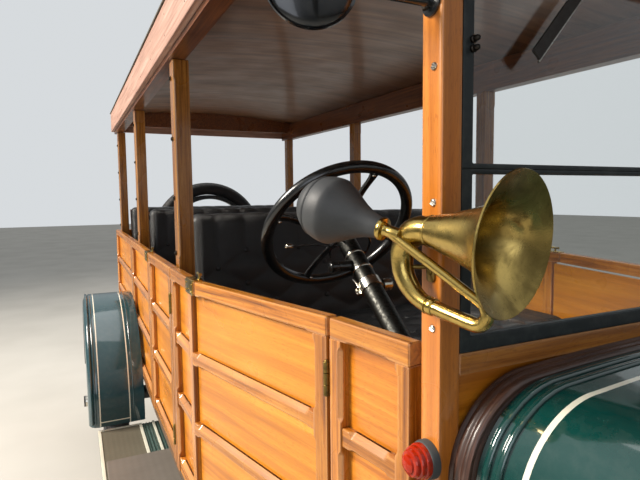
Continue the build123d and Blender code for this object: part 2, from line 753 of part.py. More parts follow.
lamp_bar = rod((-rail_outer, iron_y, LAMP_BAR_Z), (rail_outer, iron_y, LAMP_BAR_Z), LAMP_BAR_R)
chassis += lamp_bar
boss_station = CROSS_MEMBERS[0][0]
handle_z = (frame_low + frame_top) / 2
boss = rod((0, at(boss_station - CROSS_HALF - BOSS_LONG), handle_z), (0, at(boss_station), handle_z), BOSS_R)
chassis += boss
chassis -= rod((0, at(boss_station - HANDLE_BORE), handle_z), (0, at(boss_station + HANDLE_BORE), handle_z),
               HANDLE_R)
tow_z = (frame_low + frame_top) / 2
tow = block(-TOW_HALF, TOW_HALF, RAIL_REAR - TOW_LAP, RAIL_REAR + TOW_REACH, tow_z - TOW_THICK / 2,
            tow_z + TOW_THICK / 2)
tow -= Pos(0, at(RAIL_REAR + TOW_REACH - TOW_HALF), tow_z) * Cylinder(TOW_R, 2 * TOW_THICK)
chassis += tow
keep("chassis_frame", chassis)

# Engine and gearbox as one plain block, and the exhaust
engine = block(-ENGINE_HALF, ENGINE_HALF, ENGINE_FRONT, ENGINE_REAR, ENGINE_LOW, ENGINE_TOP)
engine += block(-GEARBOX_HALF, GEARBOX_HALF, ENGINE_REAR - 1, GEARBOX_REAR, ENGINE_LOW, GEARBOX_TOP)
engine += block(-rail_inner, rail_inner, ENGINE_ARM - ARM_HALF, ENGINE_ARM + ARM_HALF, frame_low + OVERCUT,
                frame_top - OVERCUT)
keep("engine", engine)
pipe_path = ((PIPE_X, at(PIPE_FRONT), PIPE_Z), (PIPE_X, at(PIPE_REAR), PIPE_Z))
exhaust = rod(*pipe_path, PIPE_R)
exhaust += rod((PIPE_X, at(MUFFLER[0]), PIPE_Z), (PIPE_X, at(MUFFLER[1]), PIPE_Z), MUFFLER_R)
flange_half = PIPE_R - FLANGE_SET
exhaust += block(ENGINE_HALF, PIPE_X, PIPE_FRONT, PIPE_FRONT + FLANGE_LONG, PIPE_Z - flange_half,
                 PIPE_Z + flange_half)
keep("exhaust", exhaust)

# Rear axle: casing, drums, spring perches and the torque tube to the gearbox
stub_end = TRACK / 2 + STUB_OUT
wheel_face = TRACK / 2 - HUB_IN
axle_y = at(REAR_AXLE)
axle_end = wheel_face - AXLE_SHORT
axle = rod((-axle_end, axle_y, HUB_Z), (axle_end, axle_y, HUB_Z), AXLE_R)
axle += Pos(0, axle_y, HUB_Z) * Sphere(CASE_R)
torque = rod((0, axle_y, HUB_Z), (0, at(GEARBOX_REAR - 2 * OVERCUT), TORQUE_Z), TORQUE_R)
axle += torque & block(-CASE_R, CASE_R, GEARBOX_REAR + JOINT, REAR_AXLE, HUB_Z - CASE_R, frame_top)
axle += rod((-stub_end, axle_y, HUB_Z), (stub_end, axle_y, HUB_Z), STUB_R)
perch_rear = HUB_Z + REAR_PERCH
for side in (-1, 1):
    drum_x = side * (wheel_face - DRUM_SET)
    axle += rod((drum_x, axle_y, HUB_Z), (drum_x - side * DRUM_WIDE, axle_y, HUB_Z), DRUM_R)
    axle += block(side * (REAR_SPRING - PERCH_HALF), side * (REAR_SPRING + PERCH_HALF),
                  REAR_AXLE - PERCH_HALF,
                  REAR_AXLE + PERCH_HALF, HUB_Z, perch_rear)
keep("rear_axle", axle)


def spring(station, end_x, end_low):
    crown = frame_low - JOINT / 3
    thin = SPRING_THICK / 2
    top = ThreePointArc((-end_x, end_low + thin), (0, crown), (end_x, end_low + thin))
    low = ThreePointArc((end_x, end_low), (0, crown - SPRING_THICK), (-end_x, end_low))
    face = make_face(Curve() + [top, Line((end_x, end_low + thin), (end_x, end_low)), low,
                                Line((-end_x, end_low), (-end_x, end_low + thin))])
    plane = Plane(origin=(0, at(station) - SPRING_WIDE / 2, 0), x_dir=(1, 0, 0), z_dir=(0, -1, 0))
    return extrude(plane * face, amount=-SPRING_WIDE)


perch_front = HUB_Z + FRONT_PERCH
keep("springs", spring(FRONT_AXLE, FRONT_SPRING, perch_front + JOINT),
     spring(REAR_AXLE, REAR_SPRING, perch_rear + JOINT))

# Front axle: beam, forks and king pins
front_y = at(FRONT_AXLE)
beam_end = KING_X - FORK_THROAT - 2 * OVERCUT
beam = block(-beam_end, beam_end, FRONT_AXLE - BEAM_HALF, FRONT_AXLE + BEAM_HALF, HUB_Z - BEAM_UNDER,
             HUB_Z + BEAM_OVER)
fork_half = KNUCKLE_HIGH / 2 + 1
for side in (-1, 1):
    fork_in = side * (KING_X - FORK_THROAT - FORK_ROOT)
    fork = block(fork_in, side * (KING_X + FORK_TIP), FRONT_AXLE - FORK_HALF, FRONT_AXLE + FORK_HALF,
                 HUB_Z - fork_half - FORK_ARM, HUB_Z + fork_half + FORK_ARM)
    fork -= block(side * (KING_X - FORK_THROAT), side * (KING_X + 2 * FORK_TIP), FRONT_AXLE - 2 * FORK_HALF,
                  FRONT_AXLE + 2 * FORK_HALF,
                  HUB_Z - fork_half, HUB_Z + fork_half)
    pin_x = side * KING_X
    pin_end = fork_half + FORK_ARM / 2
    fork += rod((pin_x, front_y, HUB_Z - pin_end), (pin_x, front_y, HUB_Z + pin_end), KING_R)
    beam += fork
    beam += block(side * (FRONT_SPRING - ARM_HALF), side * (FRONT_SPRING + ARM_HALF),
                  FRONT_AXLE - PERCH_HALF,
                  FRONT_AXLE + PERCH_HALF, HUB_Z + 2 * OVERCUT, perch_front)
keep("front_axle", beam)

# Steering knuckles with arms straight back, and the tie rod between them
tie_z = HUB_Z + TIE_DROP
arm_top = tie_z - TIE_EYE_HIGH / 2 - 2
arm_y = at(FRONT_AXLE + ARM)
for side, name in ((1, "knuckle_left"), (-1, "knuckle_right")):
    pin_x = side * KING_X
    solid = Pos(pin_x, front_y, HUB_Z) * Cylinder(KNUCKLE_R, KNUCKLE_HIGH)
    solid += rod((pin_x, front_y, HUB_Z), (side * stub_end, front_y, HUB_Z), STUB_R)
    solid += block(side * (KING_X - 10), side * (KING_X + 10), FRONT_AXLE + KING_R + 3,
                   FRONT_AXLE + ARM + 14,
                   arm_top - 18, arm_top)
    solid += rod((pin_x, arm_y, arm_top - 5), (pin_x, arm_y, tie_z + TIE_EYE_HIGH / 2 + 4), TIE_PIN_R)
    solid -= Pos(pin_x, front_y, HUB_Z) * Cylinder(KING_R + RUN_FIT, 4 * KNUCKLE_HIGH)
    keep(name, solid)
tie = rod((-KING_X + 10, arm_y, tie_z), (KING_X - 10, arm_y, tie_z), TIE_R)
for side, play in ((1, RUN_FIT), (-1, TIE_PLAY)):
    eye = Pos(side * KING_X, arm_y, tie_z) * Cylinder(TIE_EYE_R, TIE_EYE_HIGH)
    hole = Pos(side * KING_X, arm_y, tie_z) * Cylinder(TIE_PIN_R + play, 2 * TIE_EYE_HIGH)
    tie = (tie + eye) - hole
keep("tie_rod", tie)


# Wheels: hub, wood spokes, felloe and demountable rim, turned about the stub axle along X
def ring(x0, x1, r0, r1):
    plane = Plane(origin=(x0, 0, 0), x_dir=(0, 1, 0), z_dir=(1, 0, 0))
    shape = plane * Circle(r1)
    if r0 > 0:
        shape -= plane * Circle(r0)
    return extrude(shape, amount=x1 - x0)


rim_r = RIM_OD / 2
base_r = rim_r - RIM_LIP


def rim():
    lips = ring(-RIM_HALF, -RIM_HALF + RIM_SHEET, base_r - 1, rim_r) + ring(RIM_HALF - RIM_SHEET, RIM_HALF,
                                                                            base_r - 1, rim_r)
    return ring(-RIM_HALF, RIM_HALF, base_r - RIM_SHEET, base_r) + lips


felloe_out = base_r - RIM_SHEET
felloe_in = felloe_out - FELLOE
wheel = rim() + ring(-FELLOE_HALF, FELLOE_HALF, felloe_in, felloe_out + 1)
wheel += ring(-HUB_PLATE, HUB_PLATE, STUB_R + RUN_FIT, HUB_FLANGE_R)
wheel += ring(-HUB_IN, STUB_OUT + 4, STUB_R + RUN_FIT, HUB_R)
wheel += ring(STUB_OUT + 3, HUB_OUT, 0, HUB_R - 8) + ring(HUB_OUT - 1, CAP_OUT, 0, HUB_CAP_R)
for n in range(SPOKES):
    root = Plane(origin=(0, 0, HUB_FLANGE_R - 8), z_dir=(0, 0, 1)) * Ellipse(SPOKE_X, SPOKE_Y)
    tip = Plane(origin=(0, 0, felloe_in + 4), z_dir=(0, 0, 1)) * Ellipse(SPOKE_X - 3, SPOKE_Y - 3)
    wheel += Rot(360.0 * n / SPOKES, 0, 0) * loft([root, tip])

tyre_in = base_r + JOINT
bead = RIM_HALF - RIM_SHEET - JOINT
half_tyre = TYRE_WIDTH / 2
tread_r = TYRE_OD / 2
wall_high = tread_r - rim_r
right_side = [(bead, tyre_in), (bead, rim_r + 2), (RIM_HALF + 3, rim_r + 4),
              (half_tyre, rim_r + 0.43 * wall_high),
              (0.91 * half_tyre, rim_r + 0.73 * wall_high), (0.56 * half_tyre, rim_r + 0.95 * wall_high),
              (0, tread_r)]
profile = right_side + [(-x, r) for x, r in reversed(right_side[:-1])]
tyre_plane = Plane(origin=(0, 0, 0), x_dir=(1, 0, 0), z_dir=(0, -1, 0))
tyre = revolve(tyre_plane * make_face(Polyline(*profile, close=True)), axis=Axis.X, revolution_arc=360)
for side, side_name in ((1, "left"), (-1, "right")):
    for station, end_name in ((FRONT_AXLE, "front"), (REAR_AXLE, "rear")):
        move = Pos(side * TRACK / 2, at(station), HUB_Z) * Rot(0, 0, 0 if side == 1 else 180)
        keep("wheel_" + end_name + "_" + side_name, move * wheel)
        keep("tyre_" + end_name + "_" + side_name, move * tyre)

# Spare tyre on a spare rim, carried on the tail
spare_back = TYRE_WIDTH / 2 + SPARE_GAP
spare_place = Pos(0, at(tail_front + spare_back), SPARE_Z) * Rot(0, 0, 90)
keep("spare_tyre", spare_place * tyre)
carrier = rim()
for turn in (45, 135):
    bar_x0 = -spare_back + JOINT
    bar_x1 = -RIM_HALF + 1
    bar = Pos((bar_x0 + bar_x1) / 2, 0, 0) * Box(bar_x1 - bar_x0, CARRIER_BAR, 2 * base_r - 4)
    carrier += Rot(turn, 0, 0) * bar
carrier += ring(-spare_back + JOINT, -RIM_HALF + RIM_SHEET, base_r - CARRIER_BAR / 2, base_r)
keep("spare_carrier", spare_place * carrier)


# Fenders: rolled sheet turned about the axle lines, the front ones with a reversed tail
def fender_section(radius, sign, inner_x):
    # skin on the radius, rolled edge and lips to the inside of the turn when sign is 1
    def r(depth):
        return radius - sign * depth

    out = FENDER_OUTER
    roll = FENDER_ROLL
    skin = FENDER_SHEET
    lean = roll * (1 - math.sqrt(0.5))
    small = (roll - skin) * (1 - math.sqrt(0.5))
    lip = roll + FENDER_LIP
    outer_arc = ThreePointArc((out - roll, r(0)), (out - lean, r(lean)), (out, r(roll)))
    edge = Polyline((out, r(roll)), (out, r(lip)), (out - skin, r(lip)), (out - skin, r(roll)))
    inner_arc = ThreePointArc((out - skin, r(roll)), (out - skin - small, r(skin + small)),
                              (out - roll, r(skin)))
    back = Polyline((out - roll, r(skin)), (inner_x + skin, r(skin)), (inner_x + skin, r(FENDER_INNER_LIP)),
                    (inner_x, r(FENDER_INNER_LIP)), (inner_x, r(0)), (out - roll, r(0)))
    return Plane(origin=(0, 0, 0), x_dir=(1, 0, 0), z_dir=(0, -1, 0)) * make_face(Curve() + [outer_arc,
                                                                                             edge,
                                                                                             inner_arc,
                                                                                             back])


def turned(station, centre_z, radius, sign, first, last, inner_x):
    # from first to last degrees past the crown, positive to the rear
    face = Rot(-first, 0, 0) * fender_section(radius, sign, inner_x)
    solid = revolve(face, axis=Axis.X, revolution_arc=-(last - first))
    return Pos(0, at(station), centre_z) * solid


rear_fender = turned(REAR_AXLE, arc_z, FENDER_R, 1, -FENDER_FOOT, FENDER_FRONT, REAR_FENDER_INNER)
bend = math.radians(TAIL_TURN)
tail_s = FRONT_AXLE + FENDER_R * math.sin(bend) + TAIL_R * math.sin(bend)
tail_z = arc_z + FENDER_R * math.cos(bend) + TAIL_R * math.cos(bend)
front_fender = turned(FRONT_AXLE, arc_z, FENDER_R, 1, -FENDER_FRONT, TAIL_TURN, FENDER_INNER)
front_fender += turned(tail_s, tail_z, TAIL_R, -1, 180 + TAIL_TURN, 180 + TAIL_END, FENDER_INNER)
keep("fenders", pair(rear_fender), pair(front_fender))

# Running boards with the apron up to the floor
board_front = tail_s - TAIL_R * math.sin(math.radians(TAIL_END)) + BOARD_JOINT
board = block(BOARD_INNER, BOARD_OUTER, board_front, BOARD_REAR, BOARD_Z - BOARD_THICK, BOARD_Z)
board += block(BOARD_INNER - APRON, BOARD_INNER, board_front, BOARD_REAR, BOARD_Z - BOARD_THICK,
               frame_top - JOINT)
keep("running_boards", pair(board))

# Steering column, box on the right rail, and the wheel
column = rod(on_column(COLUMN_TOP), on_column(column_foot + 2 * OVERCUT), COLUMN_R)
foot_s = WHEEL_STATION - column_foot * math.sin(math.radians(COLUMN_LEAN))
column += block(-rail_inner, WHEEL_X + BOX_SIDE, foot_s - BOX_LONG / 2, foot_s + BOX_LONG / 2, frame_low,
                STEER_BOX_TOP)
clamp_mid = Vector(*on_column(CLAMP_AT))
stalk_mid = Vector(*on_column(STALK_AT))
column += rod(on_column(CLAMP_AT - CLAMP_HALF), on_column(CLAMP_AT + CLAMP_HALF), COLUMN_R + CLAMP_RAISE)
column += rod(tuple(clamp_mid), tuple(clamp_mid + Vector(KNOB_OUT, 0, 0)), KNOB_R)
column += rod(tuple(stalk_mid), tuple(stalk_mid - Vector(STALK_OUT, 0, 0)), STALK_R)
column -= rod(on_column(COLUMN_TOP - OVERCUT), on_column(COLUMN_TOP + SHAFT_IN + OVERCUT), SHAFT_R + RUN_FIT)
keep("steering_column", column)
steer_plane = Plane(origin=on_column(0), x_dir=(1, 0, 0), z_dir=column_axis)
steering = Torus(WHEEL_R, WHEEL_RIM)
steering += Pos(0, 0, WHEEL_DISH) * Cylinder(WHEEL_HUB_R, WHEEL_HUB)
shaft_end = COLUMN_TOP + SHAFT_IN
steering += Pos(0, 0, (WHEEL_DISH + shaft_end) / 2) * Cylinder(SHAFT_R, shaft_end - WHEEL_DISH)
spoke_in = WHEEL_HUB_R - WHEEL_SPOKE
spoke_out = WHEEL_R - WHEEL_RIM / 2
path = ThreePointArc((spoke_in, 0, WHEEL_DISH), ((spoke_in + spoke_out) / 2, 0, WHEEL_DISH * 0.85),
                     (spoke_out, 0, 0))
spoke = sweep(Plane(origin=path @ 0, z_dir=path % 0) * Circle(WHEEL_SPOKE), path=path)
for n in range(WHEEL_SPOKES):
    steering += Rot(0, 0, SPOKE_TURN + 360.0 * n / WHEEL_SPOKES) * spoke
keep("steering_wheel", steer_plane * steering)

# Seats: boarded risers and backs under plain cushions
lean = math.tan(math.radians(SEAT_LEAN))
frames = []
for name, station in zip(("front", "middle", "rear"), SEAT_BACKS):
    base = CUSHION_TOP - CUSHION_THICK
    front_s = station - CUSHION_DEEP
    cushion = block(-SEAT_HALF, SEAT_HALF, front_s, station - JOINT, base + JOINT, CUSHION_TOP)
    high = BACK_TOP - base
    slant = Polyline((station, base + JOINT), (station + BACK_THICK, base + JOINT),
                     (station + BACK_THICK + lean * high, BACK_TOP), (station + lean * high, BACK_TOP),
                     close=True)
    plane = Plane(origin=(-SEAT_HALF, -MID, 0), x_dir=(0, 1, 0), z_dir=(1, 0, 0))
    backrest = extrude(plane * make_face(slant), amount=2 * SEAT_HALF)
    keep(name + "_seat", fillet(cushion.edges().filter_by(Axis.X).group_by(Axis.Z)[-1], CUSHION_ROUND),
         fillet(backrest.edges().filter_by(Axis.X).group_by(Axis.Z)[-1], CUSHION_ROUND))
    riser_half = SEAT_HALF - RISER_SIDE
    riser = block(-riser_half, riser_half, front_s + RISER_INSET, station, SILL_Z, base)
    riser -= block(-riser_half + SEAT_BOARD, riser_half - SEAT_BOARD,
                   front_s + RISER_INSET + SEAT_BOARD,
                   station + 1, SILL_Z - 1, base - SEAT_BOARD)
    rear = station + BACK_THICK + JOINT
    board_line = Polyline((station - 1, SILL_Z), (rear + SEAT_BOARD, SILL_Z), (rear + SEAT_BOARD, base),
                          (rear + SEAT_BOARD + lean * high, BACK_TOP - BOARD_LOW),
                          (rear + lean * (high - BOARD_LOW), BACK_TOP - BOARD_LOW),
                          (rear, base), (station - 1, base), close=True)
    back_board = extrude(plane * make_face(board_line), amount=2 * SEAT_HALF)
    hollow = block(-SEAT_HALF + SEAT_BOARD, SEAT_HALF - SEAT_BOARD, station - 2, rear, SILL_Z - 1,
                   base - SEAT_BOARD)
    frames.append(riser + back_board - hollow)
keep("seat_frames", frames)

# Bulb horn on the right pillar, in an upright plane: flared bell, tapering elbow, return tube, loop and pipe
ahead = Vector(*HORN_MOUTH_DIR).normalized()
horn_out = ahead.cross(Vector(0, 0, 1))
mouth = Vector(HORN_X, at(HORN_STATION), HORN_Z) + horn_out * HORN_SIDE
horn_plane = Plane(origin=tuple(mouth), x_dir=tuple(ahead), z_dir=tuple(horn_out))


def in_horn(along, up):
    return horn_plane.from_local_coords(Vector(along, up, 0))


def heading(degrees):
    turn = math.radians(degrees)
    return Vector(math.cos(turn), math.sin(turn), 0)


def horn_section(middle, degrees, radius):
    way = heading(degrees)
    spot = in_horn(middle.X, middle.Y)
    return Plane(origin=tuple(spot), z_dir=tuple(in_horn(way.X, way.Y) - mouth)) * Circle(radius)


def revolved(side, plane):
    points = [(0, side[0][1])] + side + [(0, side[-1][1])]
    face = Plane(origin=(0, 0, 0), x_dir=(1, 0, 0), z_dir=(0, -1, 0)) * make_face(Polyline(*points,
                                                                                           close=True))
    return plane * revolve(face, axis=Axis.Z, revolution_arc=360)


bell_back = heading(180 - BELL_DROP)
bell_end = bell_back * BELL_LONG
bell_plane = Plane(origin=tuple(mouth), z_dir=tuple(in_horn(bell_back.X, bell_back.Y) - mouth))
outer_side = [(radius, deep) for deep, radius in BELL_FLARE] + [(ELBOW_RADII[0], BELL_LONG)]
inner_side = [(radius - BELL_SHEET, deep) for deep, radius in BELL_FLARE]
inner_side[0] = (BELL_FLARE[0][1] - BELL_SHEET, -1)
inner_side.append((ELBOW_RADII[0] - BELL_SHEET, BELL_LONG * BELL_HOLLOW))
horn = revolved(outer_side, bell_plane) - revolved(inner_side, bell_plane)

start_turn = 90 - BELL_DROP
end_turn = 270 - RETURN_DROP
elbow_middle = bell_end - heading(start_turn) * ELBOW_BEND
steps = len(ELBOW_RADII) - 1
turns = [start_turn + (end_turn - start_turn) * k / steps for k in range(steps + 1)]
spots = [elbow_middle + heading(turn) * ELBOW_BEND for turn in turns]
sections = [horn_section(spot, turn + 90, radius) for spot, turn, radius in zip(spots, turns, ELBOW_RADII)]
horn += loft(sections)

return_way = heading(-RETURN_DROP)
return_end = spots[-1] + return_way * RETURN_LONG
loop_middle = return_end + heading(90 - RETURN_DROP) * LOOP_BEND
loop_from = -90 - RETURN_DROP
loop_points = [loop_middle + heading(loop_from + LOOP_TURN * share) * LOOP_BEND for share in (0, 0.5, 1)]
horn += rod(tuple(in_horn(spots[-1].X, spots[-1].Y)), tuple(in_horn(return_end.X, return_end.Y)),
            ELBOW_RADII[-1])
loop_arc = ThreePointArc(*[tuple(in_horn(spot.X, spot.Y)) for spot in loop_points])
horn += sweep(horn_section(return_end, -RETURN_DROP, ELBOW_RADII[-1]), path=loop_arc)
ferrule = Vector(FERRULE[0], at(FERRULE[1]), FERRULE[2])
loop_end = in_horn(loop_points[-1].X, loop_points[-1].Y)
horn += rod(tuple(loop_end), tuple(ferrule), PIPE_R)
horn += Pos(*loop_end) * Sphere(ELBOW_RADII[-1])

bulb_mid = Vector(BULB_MID[0], at(BULB_MID[1]), BULB_MID[2])
bulb_long = (bulb_mid - ferrule).length
bulb_plane = Plane(origin=tuple(ferrule), z_dir=tuple(bulb_mid - ferrule))
neck = [(FERRULE_R, -FERRULE_LONG / 2), (FERRULE_R, FERRULE_LONG / 2), (BULB_NECK_R + 2, FERRULE_LONG / 2 + 1),
        (BULB_NECK_R, FERRULE_LONG)]
shoulder = [(0.70 * BULB_R, 0.45 * bulb_long), (0.92 * BULB_R, 0.75 * bulb_long), (BULB_R, bulb_long)]
round_end = [(BULB_R * math.cos(math.radians(turn)),
              bulb_long + BULB_END_DEEP * math.sin(math.radians(turn)))
             for turn in (30, 55, 75)]
horn += revolved(neck + shoulder + round_end, bulb_plane)

clip_x = -PILLAR_OUTER - JOINT
clip_mid = -PILLAR_Y / 2
clip_thick, clip_wide, clip_high = HORN_CLIP_SIZE
horn += block(clip_x - clip_thick, clip_x, clip_mid - clip_wide / 2, clip_mid + clip_wide / 2,
              HORN_CLIP_Z - clip_high / 2, HORN_CLIP_Z + clip_high / 2)
horn += rod((clip_x - clip_thick / 2, at(clip_mid), HORN_CLIP_Z), tuple(in_horn(spots[2].X, spots[2].Y)),
            HORN_STRAP_R)
keep("horn", horn)

# Mirror on the right pillar
mirror_dir = Vector(*MIRROR_DIR).normalized()
mirror_mid = Vector(MIRROR_X, at(MIRROR_STATION), MIRROR_Z)
mirror_plane = Plane(origin=tuple(mirror_mid), z_dir=tuple(mirror_dir))
glass_dish = mirror_plane * Cylinder(MIRROR_R, MIRROR_THICK)
arm_start = (-PILLAR_OUTER - JOINT, at(-PILLAR_Y / 2), MIRROR_FOOT_Z)
knee = (MIRROR_X, at(-PILLAR_Y / 2), MIRROR_FOOT_Z)
door_mirror = glass_dish + rod(arm_start, knee, MIRROR_ARM) + rod(knee, tuple(mirror_mid), MIRROR_ARM)
door_mirror += Pos(*knee) * Sphere(MIRROR_ARM)
keep("mirror", door_mirror)

# Head lamps on the lamp bar, stepped side lamps on the pillars' outer faces and a tail lamp
lamps = []
lamp_plane_y = at(IRON_STATION)
for side in (-1, 1):
    centre_z = LAMP_BAR_Z + LAMP_BAR_R + LAMP_STEM + LAMP_R
    lamp_axis = Plane(origin=(side * LAMP_X, lamp_plane_y - LAMP_DEEP / 2, centre_z), z_dir=(0, 1, 0))
    bucket = lamp_axis * Cylinder(LAMP_R, LAMP_RIM, align=(Align.CENTER, Align.CENTER, Align.MIN))
    back = lamp_axis.offset(LAMP_RIM)
    bucket += loft([back * Circle(LAMP_R - 4), lamp_axis.offset(LAMP_DEEP) * Circle(LAMP_R * 0.45)])
    foot_z = LAMP_BAR_Z + LAMP_BAR_R + JOINT
    bucket += rod((side * LAMP_X, lamp_plane_y, foot_z), (side * LAMP_X, lamp_plane_y, centre_z), LAMP_BAR_R)
    lamps.append(bucket)
    side_plane = Plane(origin=(side * (PILLAR_OUTER + JOINT), at(-PILLAR_Y / 2), SIDE_LAMP_Z),
                       z_dir=(side, 0, 0))
    lens = [(radius, SIDE_LAMP_BASE + out) for radius, out in SIDE_LENS]
    lamps.append(revolved([(SIDE_LAMP_R, 0.0), (SIDE_LAMP_R, SIDE_LAMP_BASE)] + lens, side_plane))
tail_axis = Plane(origin=(TAIL_LAMP_X, at(tail_front) + JOINT, TAIL_LAMP_Z), z_dir=(0, 1, 0))
lamps.append(tail_axis * Cylinder(TAIL_LAMP_R, TAIL_LAMP_DEEP,
                                  align=(Align.CENTER, Align.CENTER, Align.MIN)))
keep("lamps", lamps)

for name, solids in nodes.items():
    flat = []
    for item in solids:
        flat.extend(item.solids())
    shape = flat[0] if len(flat) == 1 else Compound(children=flat)
    export_step(shape, "parts/" + name + ".step")
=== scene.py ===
import math

import bpy
import numpy as np
from mathutils import Matrix, Vector


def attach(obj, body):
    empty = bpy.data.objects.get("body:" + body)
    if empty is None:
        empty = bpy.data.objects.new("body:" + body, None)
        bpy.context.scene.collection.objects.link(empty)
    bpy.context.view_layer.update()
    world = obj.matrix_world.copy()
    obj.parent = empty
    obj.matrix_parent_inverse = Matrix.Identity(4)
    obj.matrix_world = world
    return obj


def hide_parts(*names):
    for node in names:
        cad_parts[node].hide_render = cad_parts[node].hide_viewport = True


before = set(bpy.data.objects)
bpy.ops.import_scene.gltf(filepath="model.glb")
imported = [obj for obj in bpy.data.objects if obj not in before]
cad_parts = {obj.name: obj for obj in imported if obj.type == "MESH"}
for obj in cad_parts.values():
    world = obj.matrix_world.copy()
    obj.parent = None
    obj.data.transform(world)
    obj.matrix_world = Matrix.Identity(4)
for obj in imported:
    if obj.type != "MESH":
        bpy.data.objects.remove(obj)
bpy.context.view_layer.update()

# Lengths in metres. Stations run rearwards from the rear face of the windscreen pillars, and MID is the
# station of the frame's origin
MID = 0.9015

# Walls: belt and sill heights, board thickness, setbacks and bevel, and widths of the framing boards
BELT_Z, SILL_Z = 1.185, 0.609
WALL, RECESS, SETBACK, BEVEL = 0.025, 0.018, 0.003, 0.009
STILE, QUARTER_STILE = 0.036, 0.028
BELT_RAIL, MID_RAIL, BOTTOM_RAIL, RAIL_STEP = 0.033, 0.030, 0.042, 0.173
# Doors: the gap round them, and how far the front door reaches past its belt rail
DOOR_GAP, LATCH_JOG = 0.0055, 0.028
# Station and half width where each length of wall begins
SEAMS = {
    "quarter": (0.015, 0.471),
    "front_door": (0.200, 0.4995),
    "b_panel": (0.660, 0.617),
    "second_door": (0.945, 0.625),
    "c_panel": (1.407, 0.627),
    "rear_panel": (2.100, 0.620),
    "tail": (3.060, 0.620),
}
# Outer faces of the windscreen pillars and posts, and the station of the pillars' middle
PILLAR_X, PILLAR_MID, POST_X = 0.463, -0.019, 0.594
# Mirror: the knee of its arm
MIRROR_X, MIRROR_Z = 0.572, 1.606
# Half width and top of the body at the dash, and of the bonnet where it meets the scuttle
DASH_HALF, DASH_TOP, BONNET_WIDE, BONNET_TOP = 0.432, 1.152, 0.330, 1.104
# Roof: the point that the rake turns about. Radiator and head lamps: their places
ROOF_STATION, ROOF_Z = 2.960, 1.800
RADIATOR_MID = -0.8925
LAMP_X, LAMP_STATION = 0.300, -0.985
UP = np.array([0.0, 0.0, 1.0])
RIGHT = np.array([1.0, 0.0, 0.0])
BACK = np.array([0.0, 1.0, 0.0])


def at(station):
    """Y of a station."""
    return station - MID


def place(x, station, z):
    """Point of the shared frame from x, a station and z."""
    return np.array([x, at(station), z])


# Meshes: a part is a dict of points, faces (arrays of equal-sided faces), grain coordinates and an arris
# mark, where wood is drawn with wear and painted highlight


def unit(v):
    """Each vector divided by its length."""
    v = np.asarray(v, float)
    return v / np.linalg.norm(v, axis=-1, keepdims=True)


def grid_faces(rows, cols, wrap_rows=False, wrap_cols=True):
    """Quads of a grid of rows x cols points: (i, j), (i, j+1), (i+1, j+1), (i+1, j)."""
    i, j = np.meshgrid(np.arange(rows if wrap_rows else rows - 1),
                       np.arange(cols if wrap_cols else cols - 1), indexing="ij")
    i1, j1 = (i + 1) % rows, (j + 1) % cols
    return np.stack([i * cols + j, i * cols + j1, i1 * cols + j1, i1 * cols + j], -1).reshape(-1, 4)


def part(points, faces, grain=None, wear=None):
    """Points, faces, grain coordinates (the points themselves where none are given) and an arris mark from 0
    to 1, where wood takes colour for wear and painted highlight.
    """
    points = np.asarray(points, float).reshape(-1, 3)
    grain = points if grain is None else np.asarray(grain, float).reshape(-1, 3)
    wear = np.zeros(len(points)) if wear is None else np.asarray(wear, float).ravel()
    return {"points": points, "faces": [np.asarray(f) for f in faces], "grain": grain, "wear": wear}


def flipped(piece):
    """The same part on the bus's other side: x changes sign, and each face is read backwards."""
    return part(piece["points"] * [-1, 1, 1], [f[:, ::-1] for f in piece["faces"]], piece["grain"],
                piece["wear"])


def both(pieces):
    """The parts and their mirror images."""
    return list(pieces) + [flipped(p) for p in pieces]


def moved(piece, shift):
    """The part carried along by a vector."""
    return part(piece["points"] + shift, piece["faces"], piece["grain"], piece["wear"])


def make(name, pieces, finish, body="chassis", replaces=(), slot=None, smooth=40):
    """One object of several parts: their points one after another, each part's faces counted on from there.
    The slot, its finish's own one unless slot names another or is empty for none, is worked out but not used."""
    if isinstance(pieces, dict):
        pieces = [pieces]
    offsets = np.cumsum([0] + [len(p["points"]) for p in pieces[:-1]])
    loops, sizes = [], []
    for p, start in zip(pieces, offsets):
        for faces in p["faces"]:
            loops.append((faces + start).ravel())
            sizes.append(np.full(len(faces), faces.shape[1]))
    loops, sizes = np.concatenate(loops), np.concatenate(sizes)
    points = np.concatenate([p["points"] for p in pieces])
    mesh = bpy.data.meshes.new(name)
    mesh.vertices.add(len(points))
    mesh.vertices.foreach_set("co", points.astype(np.float32).ravel())
    mesh.loops.add(len(loops))
    mesh.loops.foreach_set("vertex_index", loops.astype(np.int32))
    mesh.polygons.add(len(sizes))
    mesh.polygons.foreach_set("loop_start", (np.cumsum(sizes) - sizes).astype(np.int32))
    mesh.update(calc_edges=True)
    mesh.validate()
    for key, kind, field in (("grain", "FLOAT_VECTOR", "vector"), ("wear", "FLOAT", "value")):
        data = np.concatenate([p[key] for p in pieces]).astype(np.float32)
        mesh.attributes.new(key, kind, "POINT").data.foreach_set(field, data.ravel())
    tone = np.repeat((np.arange(len(pieces)) * 0.618 + 0.2) % 1, [len(p["points"]) for p in pieces])
    mesh.attributes.new("tone", "FLOAT", "POINT").data.foreach_set("value", tone.astype(np.float32))
    if smooth:
        mesh.polygons.foreach_set("use_smooth", np.ones(len(mesh.polygons), bool))
        mesh.set_sharp_from_angle(angle=math.radians(smooth))
    mesh.materials.append(finish)
    made = bpy.data.objects.new(name, mesh)
    bpy.context.scene.collection.objects.link(made)
    if body:
        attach(made, body)
    if replaces:
        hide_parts(*([replaces] if isinstance(replaces, str) else replaces))
    slot = SLOTS.get(finish.name) if slot is None else slot
    return made


def finished(name, finish):
    """Give a CAD node its material; every face takes it."""
    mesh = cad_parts[name].data
    mesh.materials.clear()
    mesh.materials.append(finish)


boards_cut = [0]


